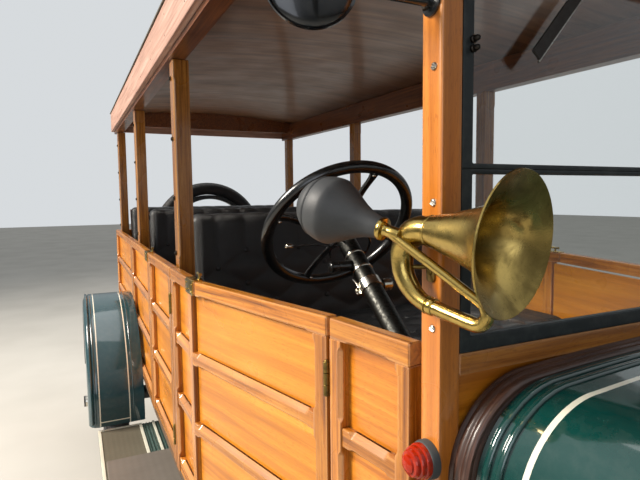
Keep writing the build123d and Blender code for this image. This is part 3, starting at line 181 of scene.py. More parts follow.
def board(origin, along, across, length, width, thick, cuts=(), arris=0.0012, ramp=0.010):
    """Plank. Its section is the rectangle width x thick; corner k is cut back by arris, or by a cut's size
    between its stops, with a half-cosine ramp at each stop. The section is carried along the length and drawn
    in by the arris at both ends. Corners: 0 low inner, 1 high inner, 2 high outer, 3 low outer, where high is
    far along across, and outer is far along the cross product of along and across."""
    along, across = unit(along), unit(across)
    out = np.cross(along, across)
    boards_cut[0] += 1
    lip = min(0.004, 0.3 * min(width, thick))
    stops = [0.0, arris, arris + 0.004, length - arris - 0.004, length - arris, length]
    for _, a0, a1, _ in cuts:
        stops.extend(a0 + np.linspace(0, ramp, 5))
        stops.extend(a1 - np.linspace(0, ramp, 5))
    a = np.unique(np.round(np.clip(stops, 0, length), 6))
    size = np.full((4, len(a)), arris)
    for corner, a0, a1, deep in cuts:
        rise = np.clip((a - a0) / ramp, 0, 1)
        fall = np.clip((a1 - a) / ramp, 0, 1)
        size[corner] += (deep - arris) * (0.5 - 0.5 * np.cos(np.pi * np.minimum(rise, fall)))
    corners = np.array([[0, 0], [width, 0], [width, thick], [0, thick]], float)
    arriving = np.array([[0, -1], [1, 0], [0, 1], [-1, 0]], float)
    leaving = np.roll(arriving, -1, axis=0)
    rows = []
    for k in range(4):
        c = size[k][:, None]
        middle = 0.293 + 0.207 * np.clip((c - arris) / 0.003, 0, 1)
        rows += [corners[k] - arriving[k] * (c + lip), corners[k] - arriving[k] * c,
                 corners[k] + (leaving[k] - arriving[k]) * middle * c,
                 corners[k] + leaving[k] * c, corners[k] + leaving[k] * (c + lip)]
    section = np.stack(rows, 1)
    ends = (a < arris / 2) | (a > length - arris / 2)
    inset = np.where(ends, arris, 0.0)[:, None]
    b = np.clip(section[..., 0], inset, width - inset)
    c = np.clip(section[..., 1], inset, thick - inset)
    aa = np.broadcast_to(a[:, None], b.shape)
    points = origin + aa[..., None] * along + b[..., None] * across + c[..., None] * out
    seed = boards_cut[0]
    grain = np.stack([aa + 0.731 * seed, b + 0.297 * seed, c + 0.113 * seed], -1)
    # Arris mark: 1 on the middle of each arris or chamfer and on the ends, 0.6 beside it; wood draws wear and
    # a painted highlight there
    wear = np.tile(np.array([0, 0.6, 1, 0.6, 0.0] * 4), (len(a), 1))
    wear[ends] = 1
    n = section.shape[1]
    caps = np.array([np.arange(n)[::-1], np.arange(n) + (len(a) - 1) * n])
    return part(points, [grid_faces(len(a), n), caps], grain, wear)


def tube(path, radii, sides=20, up=UP, closed=False, flat=1.0):
    """Round bar: a circle of the given radius at each point of the path, set square to the path's direction.
    flat squeezes it along its second cross direction."""
    path = np.asarray(path, float)
    radii = np.broadcast_to(np.asarray(radii, float), len(path))
    if closed:
        tangent = unit(np.roll(path, -1, 0) - np.roll(path, 1, 0))
    else:
        tangent = unit(np.gradient(path, axis=0))
    side = unit(np.cross(tangent, up))
    high = np.cross(side, tangent)
    turn = np.linspace(0, 2 * np.pi, sides, endpoint=False)
    ring = np.cos(turn)[None, :, None] * side[:, None] + flat * np.sin(turn)[None, :, None] * high[:, None]
    points = path[:, None] + radii[:, None, None] * ring
    faces = [grid_faces(len(path), sides, wrap_rows=closed)[:, ::-1]]
    if not closed:
        faces.append(np.array([np.arange(sides), np.arange(sides)[::-1] + (len(path) - 1) * sides]))
    distance = np.concatenate([[0], np.cumsum(np.linalg.norm(np.diff(path, axis=0), axis=1))])
    grain = np.stack(np.broadcast_arrays(distance[:, None], radii[:, None] * np.cos(turn),
                                         radii[:, None] * np.sin(turn)), -1)
    return part(points, faces, grain)


def turned(profile, centre, axis, sides=48, shell=False):
    """Lathe work: each (radius, height) of the profile swung round the axis. The profile runs so that its
    outside lies to its right, seen with the axis upwards. Both ends are closed, or a shell's profile is
    a loop."""
    profile = np.asarray(profile, float)
    axis = unit(axis)
    side = np.cross(axis, RIGHT)
    if np.linalg.norm(side) < 0.1:
        side = np.cross(axis, UP)
    side = unit(side)
    other = np.cross(axis, side)
    turn = np.linspace(0, 2 * np.pi, sides, endpoint=False)
    ring = np.cos(turn)[:, None] * side + np.sin(turn)[:, None] * other
    radius = np.maximum(profile[:, 0], 1e-5)
    points = np.asarray(centre) + profile[:, 1][:, None, None] * axis + radius[:, None, None] * ring
    faces = [grid_faces(len(profile), sides, wrap_rows=shell)]
    if not shell:
        faces.append(np.array([np.arange(sides)[::-1], np.arange(sides) + (len(profile) - 1) * sides]))
    grain = np.stack(np.broadcast_arrays(profile[:, 1][:, None], profile[:, 0][:, None], turn / 6.283), -1)
    return part(points, faces, grain)


def plate(outline, heights, origin, along, across):
    """Flat plate: the outline (b, c) repeated at each (height, inset) of heights, inset pulling it towards
    its middle, with a face at each end."""
    outline = np.asarray(outline, float)
    along, across = unit(along), unit(across)
    out = np.cross(along, across)
    middle = (outline.max(0) + outline.min(0)) / 2
    reach = np.abs(outline - middle).max(0)
    rings = []
    for height, inset in heights:
        flat = middle + (outline - middle) * (1 - inset / np.maximum(reach, 1e-6))
        rings.append(origin + flat[:, :1] * along + flat[:, 1:] * across + height * out)
    n = len(outline)
    caps = np.array([np.arange(n)[::-1], np.arange(n) + (len(heights) - 1) * n])
    return part(np.array(rings), [grid_faces(len(heights), n), caps])


def rounded(half_a, half_b, corner, steps=5):
    """Rectangle with round corners, read anticlockwise: four quarter circles about the corners' centres."""
    turn = np.linspace(0, np.pi / 2, steps)
    quarter = np.stack([np.cos(turn), np.sin(turn)], -1) * corner
    rings = []
    for k, (sa, sb) in enumerate(((1, 1), (-1, 1), (-1, -1), (1, -1))):
        c, s = ((1, 0), (0, 1), (-1, 0), (0, -1))[k]
        spun = quarter @ np.array([[c, s], [-s, c]])
        rings.append(spun + [sa * (half_a - corner), sb * (half_b - corner)])
    return np.concatenate(rings)


def dome(centre, axis, radius, high, sides=16):
    """Domed head: radius times the cosine and high times the sine of an angle from 0 to 90 degrees."""
    t = np.linspace(0, np.pi / 2, 5)
    profile = [(radius, -0.001)] + list(zip(radius * np.cos(t), high * np.sin(t)))
    return turned(profile, centre, axis, sides)


def hexagon(centre, axis, radius, high):
    """Bolt head: six sides with a drawn-in top edge, on a thin washer."""
    washer = turned([(radius * 1.35, -0.0005), (radius * 1.35, 0.0012), (0, 0.0013)], centre, axis, 16)
    head = turned([(radius, 0), (radius, high * 0.8), (radius * 0.85, high), (0, high)], centre, axis, 6)
    return [washer, head]


def screw(centre, axis, radius, slot_way=UP):
    """Round-headed screw in two halves with an open slot between them, on a low disc."""
    axis = unit(axis)
    way = unit(np.cross(axis, slot_way))
    turn = np.linspace(0, np.pi, 9)
    halves = []
    for side in (1, -1):
        outline = np.stack([np.cos(turn) * radius, np.sin(turn) * radius * 0.94 + radius * 0.09], -1)
        halves.append(plate(outline, [(-0.001, 0), (radius * 0.25, 0), (radius * 0.5, radius * 0.25),
                                      (radius * 0.6, radius * 0.55)],
                            centre, np.cross(way * side, axis), way * side))
    low = turned([(radius * 0.98, -0.001), (radius * 0.98, radius * 0.2), (0, radius * 0.2)], centre, axis,
                 16)
    return halves + [low]


def swept(section, path, side, high):
    """Moulding: the closed section (s, h), read anticlockwise as seen looking back along the path, set at
    each path point on its own side and high directions, with a face at each end."""
    section = np.asarray(section, float)
    path, side, high = (np.asarray(v, float) for v in (path, side, high))
    side, high = np.broadcast_to(side, path.shape), np.broadcast_to(high, path.shape)
    points = path[:, None] + section[None, :, :1] * side[:, None] + section[None, :, 1:] * high[:, None]
    n = len(section)
    faces = [grid_faces(len(path), n), np.array([np.arange(n)[::-1], np.arange(n) + (len(path) - 1) * n])]
    distance = np.concatenate([[0], np.cumsum(np.linalg.norm(np.diff(path, axis=0), axis=1))])
    boards_cut[0] += 1
    grain = np.stack(np.broadcast_arrays(distance[:, None], section[:, 0], section[:, 1]), -1)
    return part(points, faces, grain + 0.37 * boards_cut[0])

# Materials: named for the real finish; scales come from real sizes in metres. COLOUR turns a Mix node from
# numbers to colours

COLOUR = {"data_type": "RGBA", "out": 2}
LINING = "#e9e5d2"


def linear(code):
    """sRGB hex to linear light: c / 12.92 below 0.04045, else ((c + 0.055) / 1.055) to the power 2.4."""
    c = np.array([int(code[i:i + 2], 16) for i in (1, 3, 5)]) / 255
    return (*np.where(c <= 0.04045, c / 12.92, ((c + 0.055) / 1.055) ** 2.4), 1.0)


def node(tree, kind, links=None, out=0, stops=None, **settings):
    """Shader node with its settings, colour stops, and inputs that are linked or set; gives one output."""
    made = tree.nodes.new("ShaderNode" + kind)
    for key, value in settings.items():
        setattr(made, key, value)
    if stops:
        ramp = made.color_ramp
        ramp.elements[0].position, ramp.elements[1].position = stops[0][0], stops[-1][0]
        for spot, _ in stops[1:-1]:
            ramp.elements.new(spot)
        for element, (_, colour) in zip(ramp.elements, stops):
            element.color = linear(colour) if isinstance(colour, str) else (colour, colour, colour, 1)
    for key, value in (links or {}).items():
        if isinstance(value, bpy.types.NodeSocket):
            tree.links.new(value, made.inputs[key])
        else:
            made.inputs[key].default_value = linear(value) if isinstance(value, str) else value
    return made.outputs[out]


def finish_of(name, colour, rough, metal=0.0, coat=0.0, coat_rough=0.08, height=None, relief=0.0002,
              tree=None, **sockets):
    """The shader at the end of a material: colour, roughness and height may be sockets or plain values."""
    links = {"Base Color": colour, "Roughness": rough, "Metallic": metal, "Coat Weight": coat,
             "Coat Roughness": coat_rough}
    links.update({key.replace("_", " "): value for key, value in sockets.items()})
    if height is not None:
        links["Normal"] = node(tree, "Bump", {"Height": height, "Distance": relief, "Strength": 1.0})
    shader = node(tree, "BsdfPrincipled", links)
    node_out = tree.nodes.new("ShaderNodeOutputMaterial")
    tree.links.new(shader, node_out.inputs["Surface"])
    return name


def material(name):
    """Empty material and its node tree."""
    made = bpy.data.materials.new(name)
    made.use_nodes = True
    made.node_tree.nodes.clear()
    return made, made.node_tree


def spots(tree, order=None):
    """Coordinates in metres: a piece's own grain, or object coordinates with the axes in a new order."""
    if order is None:
        return node(tree, "Attribute", attribute_name="grain", out=1)
    whole = node(tree, "TexCoord", out=3)
    if order == "XYZ":
        return whole
    split = tree.nodes.new("ShaderNodeSeparateXYZ")
    tree.links.new(whole, split.inputs[0])
    return node(tree, "CombineXYZ", {k: split.outputs["XYZ".index(axis)] for k, axis in enumerate(order)})


def noise(tree, where, scale, detail=2.0, rough=0.5, twist=0.0):
    """Noise stretched along the axes: scale gives the cells to a metre on each."""
    stretched = node(tree, "Mapping", {"Vector": where, "Scale": scale})
    return node(tree, "TexNoise", {"Vector": stretched, "Scale": 1.0, "Detail": detail, "Roughness": rough,
                                   "Distortion": twist})


def wood(name, dark, mid, light, order=None, ring=0.010, fleck=0.35, gloss=0.20, coat=0.6, arris_colour="#d9955c",
         arris_by=0.35, age=0.25):
    """Varnished board: growth rings as noise stretched 30 times along the grain, fine fibres, short dark
    pores, uneven varnish. A piece with its own grain takes another colour on its arrises and chamfers:
    paler for wear and a painted highlight where the bevels catch the light, darker on the fascia; and each
    of its boards has a tone of its own."""
    made, tree = material(name)
    where = spots(tree, order)
    rings = noise(tree, where, (1 / (30 * ring), 1 / ring, 1 / ring), 3, 0.55, 0.8)
    fibre = noise(tree, where, (9, 330, 330), 2, 0.6)
    pores = noise(tree, where, (75, 520, 520), 1, 0.5)
    blotch = noise(tree, where, (7, 9, 9), 2, 0.5)
    colour = node(tree, "ValToRGB", {0: rings}, stops=((0.28, dark), (0.5, mid), (0.72, light)))
    stripes = node(tree, "ValToRGB", {0: fibre}, stops=((0.3, 0.45), (0.7, 1.0)))
    colour = node(tree, "Mix", {0: 0.30, 6: colour, 7: stripes}, blend_type="MULTIPLY", **COLOUR)
    aged = node(tree, "ValToRGB", {0: blotch}, stops=((0.35, 0.0), (0.75, age)))
    colour = node(tree, "Mix", {0: aged, 6: colour, 7: dark}, **COLOUR)
    pore = node(tree, "ValToRGB", {0: pores}, stops=((0.60, 0.0), (0.68, fleck)))
    colour = node(tree, "Mix", {0: pore, 6: colour, 7: dark}, **COLOUR)
    if order is None:
        # Arris colour, mixed in by the arris mark: partly wear, partly a painted highlight on the arrises and
        # bevels
        wear = node(tree, "Attribute", attribute_name="wear", out=2)
        arris_share = node(tree, "Math", {0: wear, 1: arris_by}, operation="MULTIPLY")
        colour = node(tree, "Mix", {0: arris_share, 6: colour, 7: arris_colour}, **COLOUR)
        tone = node(tree, "Attribute", attribute_name="tone", out=2)
        bright = node(tree, "MapRange", {0: tone, 3: 0.84, 4: 1.12})
        colour = node(tree, "HueSaturation", {"Color": colour, "Value": bright})
    rough = node(tree, "ValToRGB", {0: blotch}, stops=((0.3, gloss), (0.7, gloss + 0.14)))
    height = node(tree, "Mix", {0: 0.5, 6: fibre, 7: pores}, **COLOUR)
    finish_of(name, colour, rough, coat=coat, coat_rough=0.12, height=height, relief=0.00012, tree=tree)
    return made


def paint(name, colour, gloss=0.16, coat=0.9, dust="#8d8f88", dust_by=0.06, stripe=None):
    """Brushed and flatted coach enamel: nearly even colour, faint dust, slight waviness. stripe adds a lining
    colour where a value of the tree is 1."""
    made, tree = material(name)
    where = spots(tree, "XYZ")
    shade = noise(tree, where, (9, 9, 9), 3, 0.55)
    wave = noise(tree, where, (26, 26, 26), 2, 0.4)
    specks = noise(tree, where, (60, 60, 60), 4, 0.6)
    deeper = node(tree, "Mix", {0: 0.5, 6: colour, 7: "#000000"}, **COLOUR)
    uneven = node(tree, "ValToRGB", {0: shade}, stops=((0.3, 0.0), (0.8, 0.35)))
    base = node(tree, "Mix", {0: uneven, 6: colour, 7: deeper}, **COLOUR)
    dusty = node(tree, "ValToRGB", {0: specks}, stops=((0.45, 0.0), (0.8, dust_by)))
    base = node(tree, "Mix", {0: dusty, 6: base, 7: dust}, **COLOUR)
    if stripe:
        base = node(tree, "Mix", {0: stripe(tree, where), 6: base, 7: LINING}, **COLOUR)
    rough = node(tree, "ValToRGB", {0: shade}, stops=((0.3, gloss), (0.8, gloss + 0.08)))
    finish_of(name, base, rough, coat=coat, coat_rough=0.04, height=wave, relief=0.0004, tree=tree)
    return made


def plated(name, colour, tarnish, rough=0.18, patch=0.03, stain=0.5, relief=0.00025):
    """Polished metal with tarnish in soft patches, finger marks and fine pits."""
    made, tree = material(name)
    where = spots(tree, "XYZ")
    cloud = noise(tree, where, (1 / patch,) * 3, 4, 0.6, 0.6)
    fine = noise(tree, where, (420, 420, 420), 2, 0.5)
    stained = node(tree, "ValToRGB", {0: cloud}, stops=((0.42, 0.0), (0.72, stain)))
    base = node(tree, "Mix", {0: stained, 6: colour, 7: tarnish}, **COLOUR)
    pitted = node(tree, "ValToRGB", {0: fine}, stops=((0.62, 0.0), (0.75, 0.5)))
    base = node(tree, "Mix", {0: pitted, 6: base, 7: tarnish}, **COLOUR)
    dull = node(tree, "ValToRGB", {0: cloud}, stops=((0.35, rough), (0.75, rough + 0.22)))
    height = node(tree, "Mix", {0: 0.3, 6: cloud, 7: fine}, **COLOUR)
    finish_of(name, base, dull, metal=1.0, height=height, relief=relief, tree=tree)
    return made


def rubber(name, colour, rough=0.55, grain=0.002, dust="#6b665c", dust_by=0.2):
    """Matt skin with a fine grain of the given size in metres, and dust in soft patches."""
    made, tree = material(name)
    where = spots(tree, "XYZ")
    cloud = noise(tree, where, (22, 22, 22), 4, 0.6)
    fine = noise(tree, where, (1 / grain,) * 3, 2, 0.5)
    dusty = node(tree, "ValToRGB", {0: cloud}, stops=((0.4, 0.0), (0.8, dust_by)))
    base = node(tree, "Mix", {0: dusty, 6: colour, 7: dust}, **COLOUR)
    dull = node(tree, "ValToRGB", {0: cloud}, stops=((0.3, rough), (0.8, rough + 0.15)))
    finish_of(name, base, dull, height=fine, relief=0.00015, tree=tree)
    return made


def leather(name, colour):
    """Black hide: pebble grain of about 1.5 mm from cell edges, slow shade changes, worn sheen."""
    made, tree = material(name)
    where = spots(tree, "XYZ")
    cells = node(tree, "TexVoronoi", {"Vector": where, "Scale": 650.0}, feature="DISTANCE_TO_EDGE")
    cloud = noise(tree, where, (16, 16, 16), 4, 0.6)
    faded = node(tree, "ValToRGB", {0: cloud}, stops=((0.35, 0.0), (0.75, 0.5)))
    base = node(tree, "Mix", {0: faded, 6: colour, 7: "#101315"}, **COLOUR)
    pebbles = node(tree, "ValToRGB", {0: cells}, stops=((0.0, 0.0), (0.12, 1.0)))
    height = node(tree, "Mix", {0: 0.35, 6: pebbles, 7: cloud}, **COLOUR)
    sheen = node(tree, "ValToRGB", {0: cloud}, stops=((0.3, 0.36), (0.75, 0.50)))
    finish_of(name, base, sheen, coat=0.10, coat_rough=0.25, height=height, relief=0.0005, tree=tree)
    return made


def canvas(name, colour, dark, thread=0.0016):
    """Painted roof cloth: plain weave from two crossed waves under a matt coat, with grime."""
    made, tree = material(name)
    where = spots(tree, "XYZ")
    waves = {"Vector": where, "Scale": 0.05 / thread}
    warp, weft = (node(tree, "TexWave", waves, out=1, bands_direction=way) for way in "XY")
    cloud = noise(tree, where, (5, 5, 5), 4, 0.6)
    grime = node(tree, "ValToRGB", {0: cloud}, stops=((0.35, 0.0), (0.8, 0.6)))
    base = node(tree, "Mix", {0: grime, 6: colour, 7: dark}, **COLOUR)
    height = node(tree, "Mix", {0: 0.5, 6: warp, 7: weft}, **COLOUR)
    finish_of(name, base, 0.75, height=height, relief=0.0004, tree=tree)
    return made


def clear(name, colour="#f4f7f6", rough=0.0, transmission=1.0):
    """Glass or moulded plastic under a faint film of dust."""
    made, tree = material(name)
    smears = noise(tree, spots(tree, "XYZ"), (14, 14, 14), 4, 0.6)
    film = node(tree, "ValToRGB", {0: smears}, stops=((0.4, rough), (0.8, rough + 0.04)))
    finish_of(name, colour, film, IOR=1.45, Transmission_Weight=transmission, tree=tree)
    return made


# Hardwood framing under orange spirit varnish: red-brown, glossy, pale on the arrises and bevels, partly worn
# and partly a painted highlight
rail_wood = wood("varnished_frame_hardwood", "#6e3a0e", "#b97020", "#d79238", ring=0.010, arris_colour="#dba979",
                 arris_by=0.35, coat=0.35)
# Golden plywood panels under the same varnish: yellower, with short dark flecks along the grain, a little
# paler on the arrises from wear and painted highlight
panel_wood = wood("varnished_golden_panel", "#b66a10", "#dc8a1c", "#eda02e", ring=0.030, fleck=0.55,
                  gloss=0.26, coat=0.35, arris_by=0.1, age=0.18)
# The first quarter's older panels: darker orange, a little paler on the arrises from wear and painted
# highlight
quarter_wood = wood("varnished_orange_panel", "#a55a0d", "#d6821e", "#e89a32", ring=0.022, fleck=0.45,
                    gloss=0.24, coat=0.4, arris_by=0.1)
# Straight-grained posts: brown oak with long stripes, paler on the arrises, partly worn and partly a painted
# highlight
post_wood = wood("varnished_post_oak", "#6a3a10", "#a2661f", "#c0843a", ring=0.007, fleck=0.4, gloss=0.22,
                 arris_colour="#dcae7a", arris_by=0.3)
# Windscreen pillars: bright orange, close-grained, paler on the arrises, partly worn and partly a painted
# highlight
pillar_wood = wood("varnished_pillar_hardwood", "#a85e16", "#cf7b24", "#e29038", ring=0.024, fleck=0.6,
                   gloss=0.24, coat=0.45, arris_colour="#c98b58", arris_by=0.25)
# Fascia boards: sun-bleached, pinkish, half matt, darker on the arrises
fascia_wood = wood("bleached_fascia_board", "#a67b68", "#c79c88", "#dcb6a3", ring=0.012, fleck=0.25,
                   gloss=0.42, coat=0.15, arris_colour="#6b463b", arris_by=0.5)
# Plywood ceiling: grey-brown, glossy varnish, small dark dints
ceiling_ply = wood("varnished_ceiling_plywood", "#54361f", "#80573a", "#96704f", order="XYZ", ring=0.035,
                   fleck=0.3, gloss=0.3, coat=0.25, age=0.4)
# Bent moulding: weathered, dark brown
moulding_wood = wood("weathered_bent_moulding", "#2a1812", "#4b2f24", "#6f4d3e", ring=0.004, fleck=0.5,
                     gloss=0.38, coat=0.25, arris_colour="#8f6f5e", arris_by=0.4, age=0.5)
# Floor: plain brown boards, oiled
floor_wood = wood("oiled_floor_board", "#3a2a1c", "#5f452c", "#7c5d3d", order="YXZ", ring=0.014, gloss=0.5,
                  coat=0.0)
# Seat boxes: brown board, oiled
box_wood = wood("oiled_seat_board", "#4a2b14", "#74451f", "#93602f", order="XYZ", ring=0.014, gloss=0.4,
                coat=0.1)
# Roof bearers: red-brown, well varnished, seen from below
roof_wood = wood("varnished_roof_frame", "#4a2411", "#74401d", "#92582c", order="YXZ", ring=0.009,
                 gloss=0.25, coat=0.5)


def band(tree, axis, value, half, where, fold=False):
    """1 within half of value along one axis, else 0; fold takes the axis without its sign."""
    split = tree.nodes.new("ShaderNodeSeparateXYZ")
    tree.links.new(where, split.inputs[0])
    v = split.outputs[axis]
    if fold:
        v = node(tree, "Math", {0: v}, operation="ABSOLUTE")
    off = node(tree, "Math", {0: node(tree, "Math", {0: v, 1: value}, operation="SUBTRACT")},
               operation="ABSOLUTE")
    return node(tree, "Math", {0: off, 1: half}, operation="LESS_THAN")


def either(tree, *values):
    """The greatest of several values."""
    total = values[0]
    for v in values[1:]:
        total = node(tree, "Math", {0: total, 1: v}, operation="MAXIMUM")
    return total


def scuttle_line(tree, where):
    """Cream lining round the scuttle, 6.4 mm wide."""
    return band(tree, 1, at(-0.119), 0.0032, where)


def fender_lines(tree, where):
    """Cream lining 4.4 mm wide: two lines along each fender, and one across its front face."""
    level, width = band(tree, 2, 0.440, 0.0022, where), band(tree, 0, 0.7405, 0.0617, where, True)
    across = node(tree, "Math", {0: level, 1: width}, operation="MINIMUM")
    return either(tree, *(band(tree, 0, x, 0.0022, where, True) for x in (0.681, 0.800)), across)


# Brushed enamel on the bonnet: almost black green with a wet shine
enamel_green = paint("deep_green_coach_enamel", "#0c3a36", gloss=0.10)
# The same on the scuttle, with one cream line
scuttle_enamel = paint("deep_green_lined_enamel", "#0a3d38", gloss=0.08, coat=1.0, stripe=scuttle_line)
# Bluer enamel on the fenders, lined cream
fender_enamel = paint("blue_green_lined_enamel", "#21454c", gloss=0.10, stripe=fender_lines)
# Duller, dusty enamel on the running-board aprons
apron_enamel = paint("grey_green_apron_enamel", "#3c514b", gloss=0.3, coat=0.3, dust_by=0.25)
# Windscreen frame: blackish green, half matt
screen_black = paint("matt_black_green_enamel", "#161e20", gloss=0.5, coat=0.1, dust_by=0.1)
# Wiper arm: worn brown-black, no shine
wiper_enamel = paint("brown_black_wiper_enamel", "#1a110c", gloss=0.6, coat=0.0)
# Stoved black enamel on lamps, mirror and levers: glassy
frame_black = paint("black_stoved_enamel", "#0c0e10", gloss=0.18, coat=0.6, dust_by=0.08)
# Chassis paint: flat black under road dust
chassis_black = paint("black_chassis_paint", "#111213", gloss=0.42, coat=0.1, dust="#5a5348", dust_by=0.5)
# Steering wheel: moulded ebonite, rubbed glossy
ebonite = paint("moulded_black_ebonite", "#0a0b0c", gloss=0.22, coat=0.4, dust_by=0.05)
# Spare carrier: black enamel under dust
wheel_black = paint("black_wheel_enamel", "#101213", gloss=0.2, coat=0.5, dust="#5a5348", dust_by=0.3)
# Pale trims of the boards
cream_enamel = paint("cream_lining_enamel", "#dcd8c6", gloss=0.3, coat=0.4, dust_by=0.15)
# Yellow brass: polished, tarnished brown-green in patches
brass = plated("polished_yellow_brass", "#c0a55e", "#64552f", 0.15, 0.028, 0.55)
# The horn's bell: more mottled than its tubes
bell_brass = plated("mottled_bell_brass", "#b99f5c", "#5c4d2b", 0.19, 0.035, 0.75)
# Hinges and clips: brown, hardly polished
old_brass = plated("dull_hinge_brass", "#8a7440", "#3d3420", 0.35, 0.012, 0.7)
# Nickel plate: warm white, slightly yellowed
nickel = plated("polished_nickel_plate", "#c9c4b8", "#7e776a", 0.14, 0.04, 0.4)
# Column tube: nickel worn through to black in small patches
worn_nickel = plated("worn_nickel_over_black", "#3e3e3b", "#0b0b0b", 0.36, 0.006, 0.98)
# Screw heads: bright, with dark edges
steel = plated("bright_steel_screw", "#b9b6ae", "#4f4a42", 0.25, 0.006, 0.5)
# Bolts: blackened by oil
dark_steel = plated("blackened_steel_bolt", "#3a3632", "#14110f", 0.4, 0.006, 0.6)
# Engine: painted grey iron with rust-brown dust
cast_iron = rubber("painted_cast_iron", "#3d3f3c", 0.55, 0.0012, dust="#4a3a28", dust_by=0.5)
# Exhaust: iron browned by heat
exhaust_iron = plated("heat_browned_iron", "#5a4a3e", "#3b2114", 0.5, 0.05, 0.8)
# The horn's bulb: matt grey rubber, paler with age
bulb_rubber = rubber("matt_grey_bulb_rubber", "#2e3032", 0.5, 0.0015, dust="#55585a", dust_by=0.35)
# Tyres: black rubber, grey-brown with road dust
tyre_rubber = rubber("black_tyre_rubber", "#15161a", 0.6, 0.003, dust="#4a463f", dust_by=0.35)
# Seat of the side lamps: grey rubber
seal_rubber = rubber("grey_lamp_rubber", "#3b3e3f", 0.6, 0.001)
# Seats: black hide, glossy only where it is sat on
black_leather = leather("black_buttoned_hide", "#050607")
# Running boards: olive linoleum, drawn with a 3 mm weave so that it shows
mat_rubber = canvas("olive_board_linoleum", "#5d5646", "#4a4436", thread=0.003)
# Step mats: grey, worn, with a 4 mm weave so that it shows
step_plate = canvas("grey_worn_step_mat", "#6a6158", "#554d45", thread=0.004)
# Roof: painted canvas, 1.6 mm threads
roof_cloth = canvas("painted_roof_canvas", "#4b4438", "#332e26")
# Windscreen: clear plate glass
window_glass = clear("clear_window_glass")
# Head lamps: pressed glass, slightly hazy
lamp_glass = clear("pressed_lamp_glass", "#f0f2ea", 0.03)
# Side lamps: orange-red moulded lens that glows where light goes through
amber_lens = clear("moulded_amber_red_lens", "#d8320c", 0.04, 0.55)
# Tail lamp: deep red moulded lens
red_lens = clear("moulded_red_lens", "#a80f08", 0.04, 0.55)
# Mirror glass and reflectors: silvered, almost white
mirror_face = plated("silvered_mirror_glass", "#e6e8e8", "#9a9c9c", 0.02, 0.05, 0.2, relief=0.00001)

# Material slot of each finish, unless a piece names another; make looks it up but nothing uses it
SLOTS = {finish.name: slot for slot, finishes in (
    ("varnished_wood", (rail_wood, panel_wood, quarter_wood, post_wood, pillar_wood, fascia_wood,
                        moulding_wood)),
    ("brass", (brass, bell_brass, old_brass)),
    ("chassis_black", (dark_steel,)),
    ("radiator_nickel", (steel, nickel, cream_enamel)),
    ("black_enamel", (screen_black, wiper_enamel, frame_black, ebonite)),
    ("enamel_green", (enamel_green, fender_enamel, apron_enamel)),
    ("clear_glass", (window_glass, lamp_glass, amber_lens, red_lens)),
    ("mirror_steel", (mirror_face,)),
    ("tyre_rubber", (tyre_rubber, bulb_rubber, seal_rubber)),
    ("seat_leather", (black_leather,)),
    ("board_mat", (mat_rubber, step_plate)),
    ("engine_iron", (cast_iron,)),
) for finish in finishes}


# Body: framed panels, cut as boards


def wall_line(seam, next_seam, front, rear):
    """Start point, direction along the wall and length between two seams of the bus's right side."""
    a = np.array([-SEAMS[seam][1], at(SEAMS[seam][0]), 0.0])
    b = np.array([-SEAMS[next_seam][1], at(SEAMS[next_seam][0]), 0.0])
    along = unit(b - a)
    return a + along * front, along, np.linalg.norm(b - a) - front - rear


def framed_panel(line, low, belt=None, rear_stile=True, stile=STILE):
    """Boards of one panel: belt rail over the stiles, two middle rails and a foot rail with bevelled tops
    between them, stop chamfers along every bay, and thin panels behind."""
    start, along, length = line
    out = np.cross(UP, along)
    belt_from, belt_to = belt or (0.0, length)
    belt_low = BELT_Z - BELT_RAIL
    tops = [BELT_Z - RAIL_STEP * n for n in (1, 2)] + [low + BOTTOM_RAIL]
    bays = [(tops[0], belt_low), (tops[1], tops[0] - MID_RAIL), (tops[2], tops[1] - MID_RAIL)]
    frame_boards, skins = [], []
    stop = 0.007
    for front in ([True, False] if rear_stile else [True]):
        a0 = 0.0 if front else length - stile
        cuts = [(2 if front else 3, z0 - low + stop, z1 - low - stop, 0.0065) for z0, z1 in bays]
        head = belt_low if belt_from <= a0 + 0.001 and belt_to >= a0 + stile - 0.001 else belt_low - DOOR_GAP
        frame_boards.append(board(start + along * a0 + UP * low - out * WALL, UP, along, head - low, stile,
                                  WALL, cuts, 0.0014))
    edge0, edge1 = stile, length - stile if rear_stile else length
    belt_cuts = [(2, max(edge0, belt_from) + 0.012 - belt_from, min(edge1, belt_to) - 0.012 - belt_from,
                  0.005)]
    corner = start + along * belt_from + UP * BELT_Z - out * WALL
    frame_boards.append(board(corner, along, -UP, belt_to - belt_from, BELT_RAIL, WALL, belt_cuts, 0.0022))
    run = edge1 - edge0
    for top, high in zip(tops, (MID_RAIL, MID_RAIL, BOTTOM_RAIL)):
        cuts = [(3, 0.014, run - 0.014, BEVEL)]
        if high == MID_RAIL:
            cuts.append((2, 0.016, run - 0.016, 0.005))
        frame_boards.append(board(start + along * edge0 + UP * top - out * RECESS, along, -UP, run, high,
                                  RECESS - SETBACK, cuts, ramp=0.012))
    top = belt_low + 0.004 if belt is None or belt_to >= edge1 - 0.001 else belt_low - DOOR_GAP
    corner = start + along * (edge0 - 0.004) + UP * top - out * WALL
    wide = run + (0.008 if rear_stile else 0.004)
    skins.append(board(corner, along, -UP, wide, top - low, WALL - RECESS, arris=0.0006))
    return frame_boards, skins


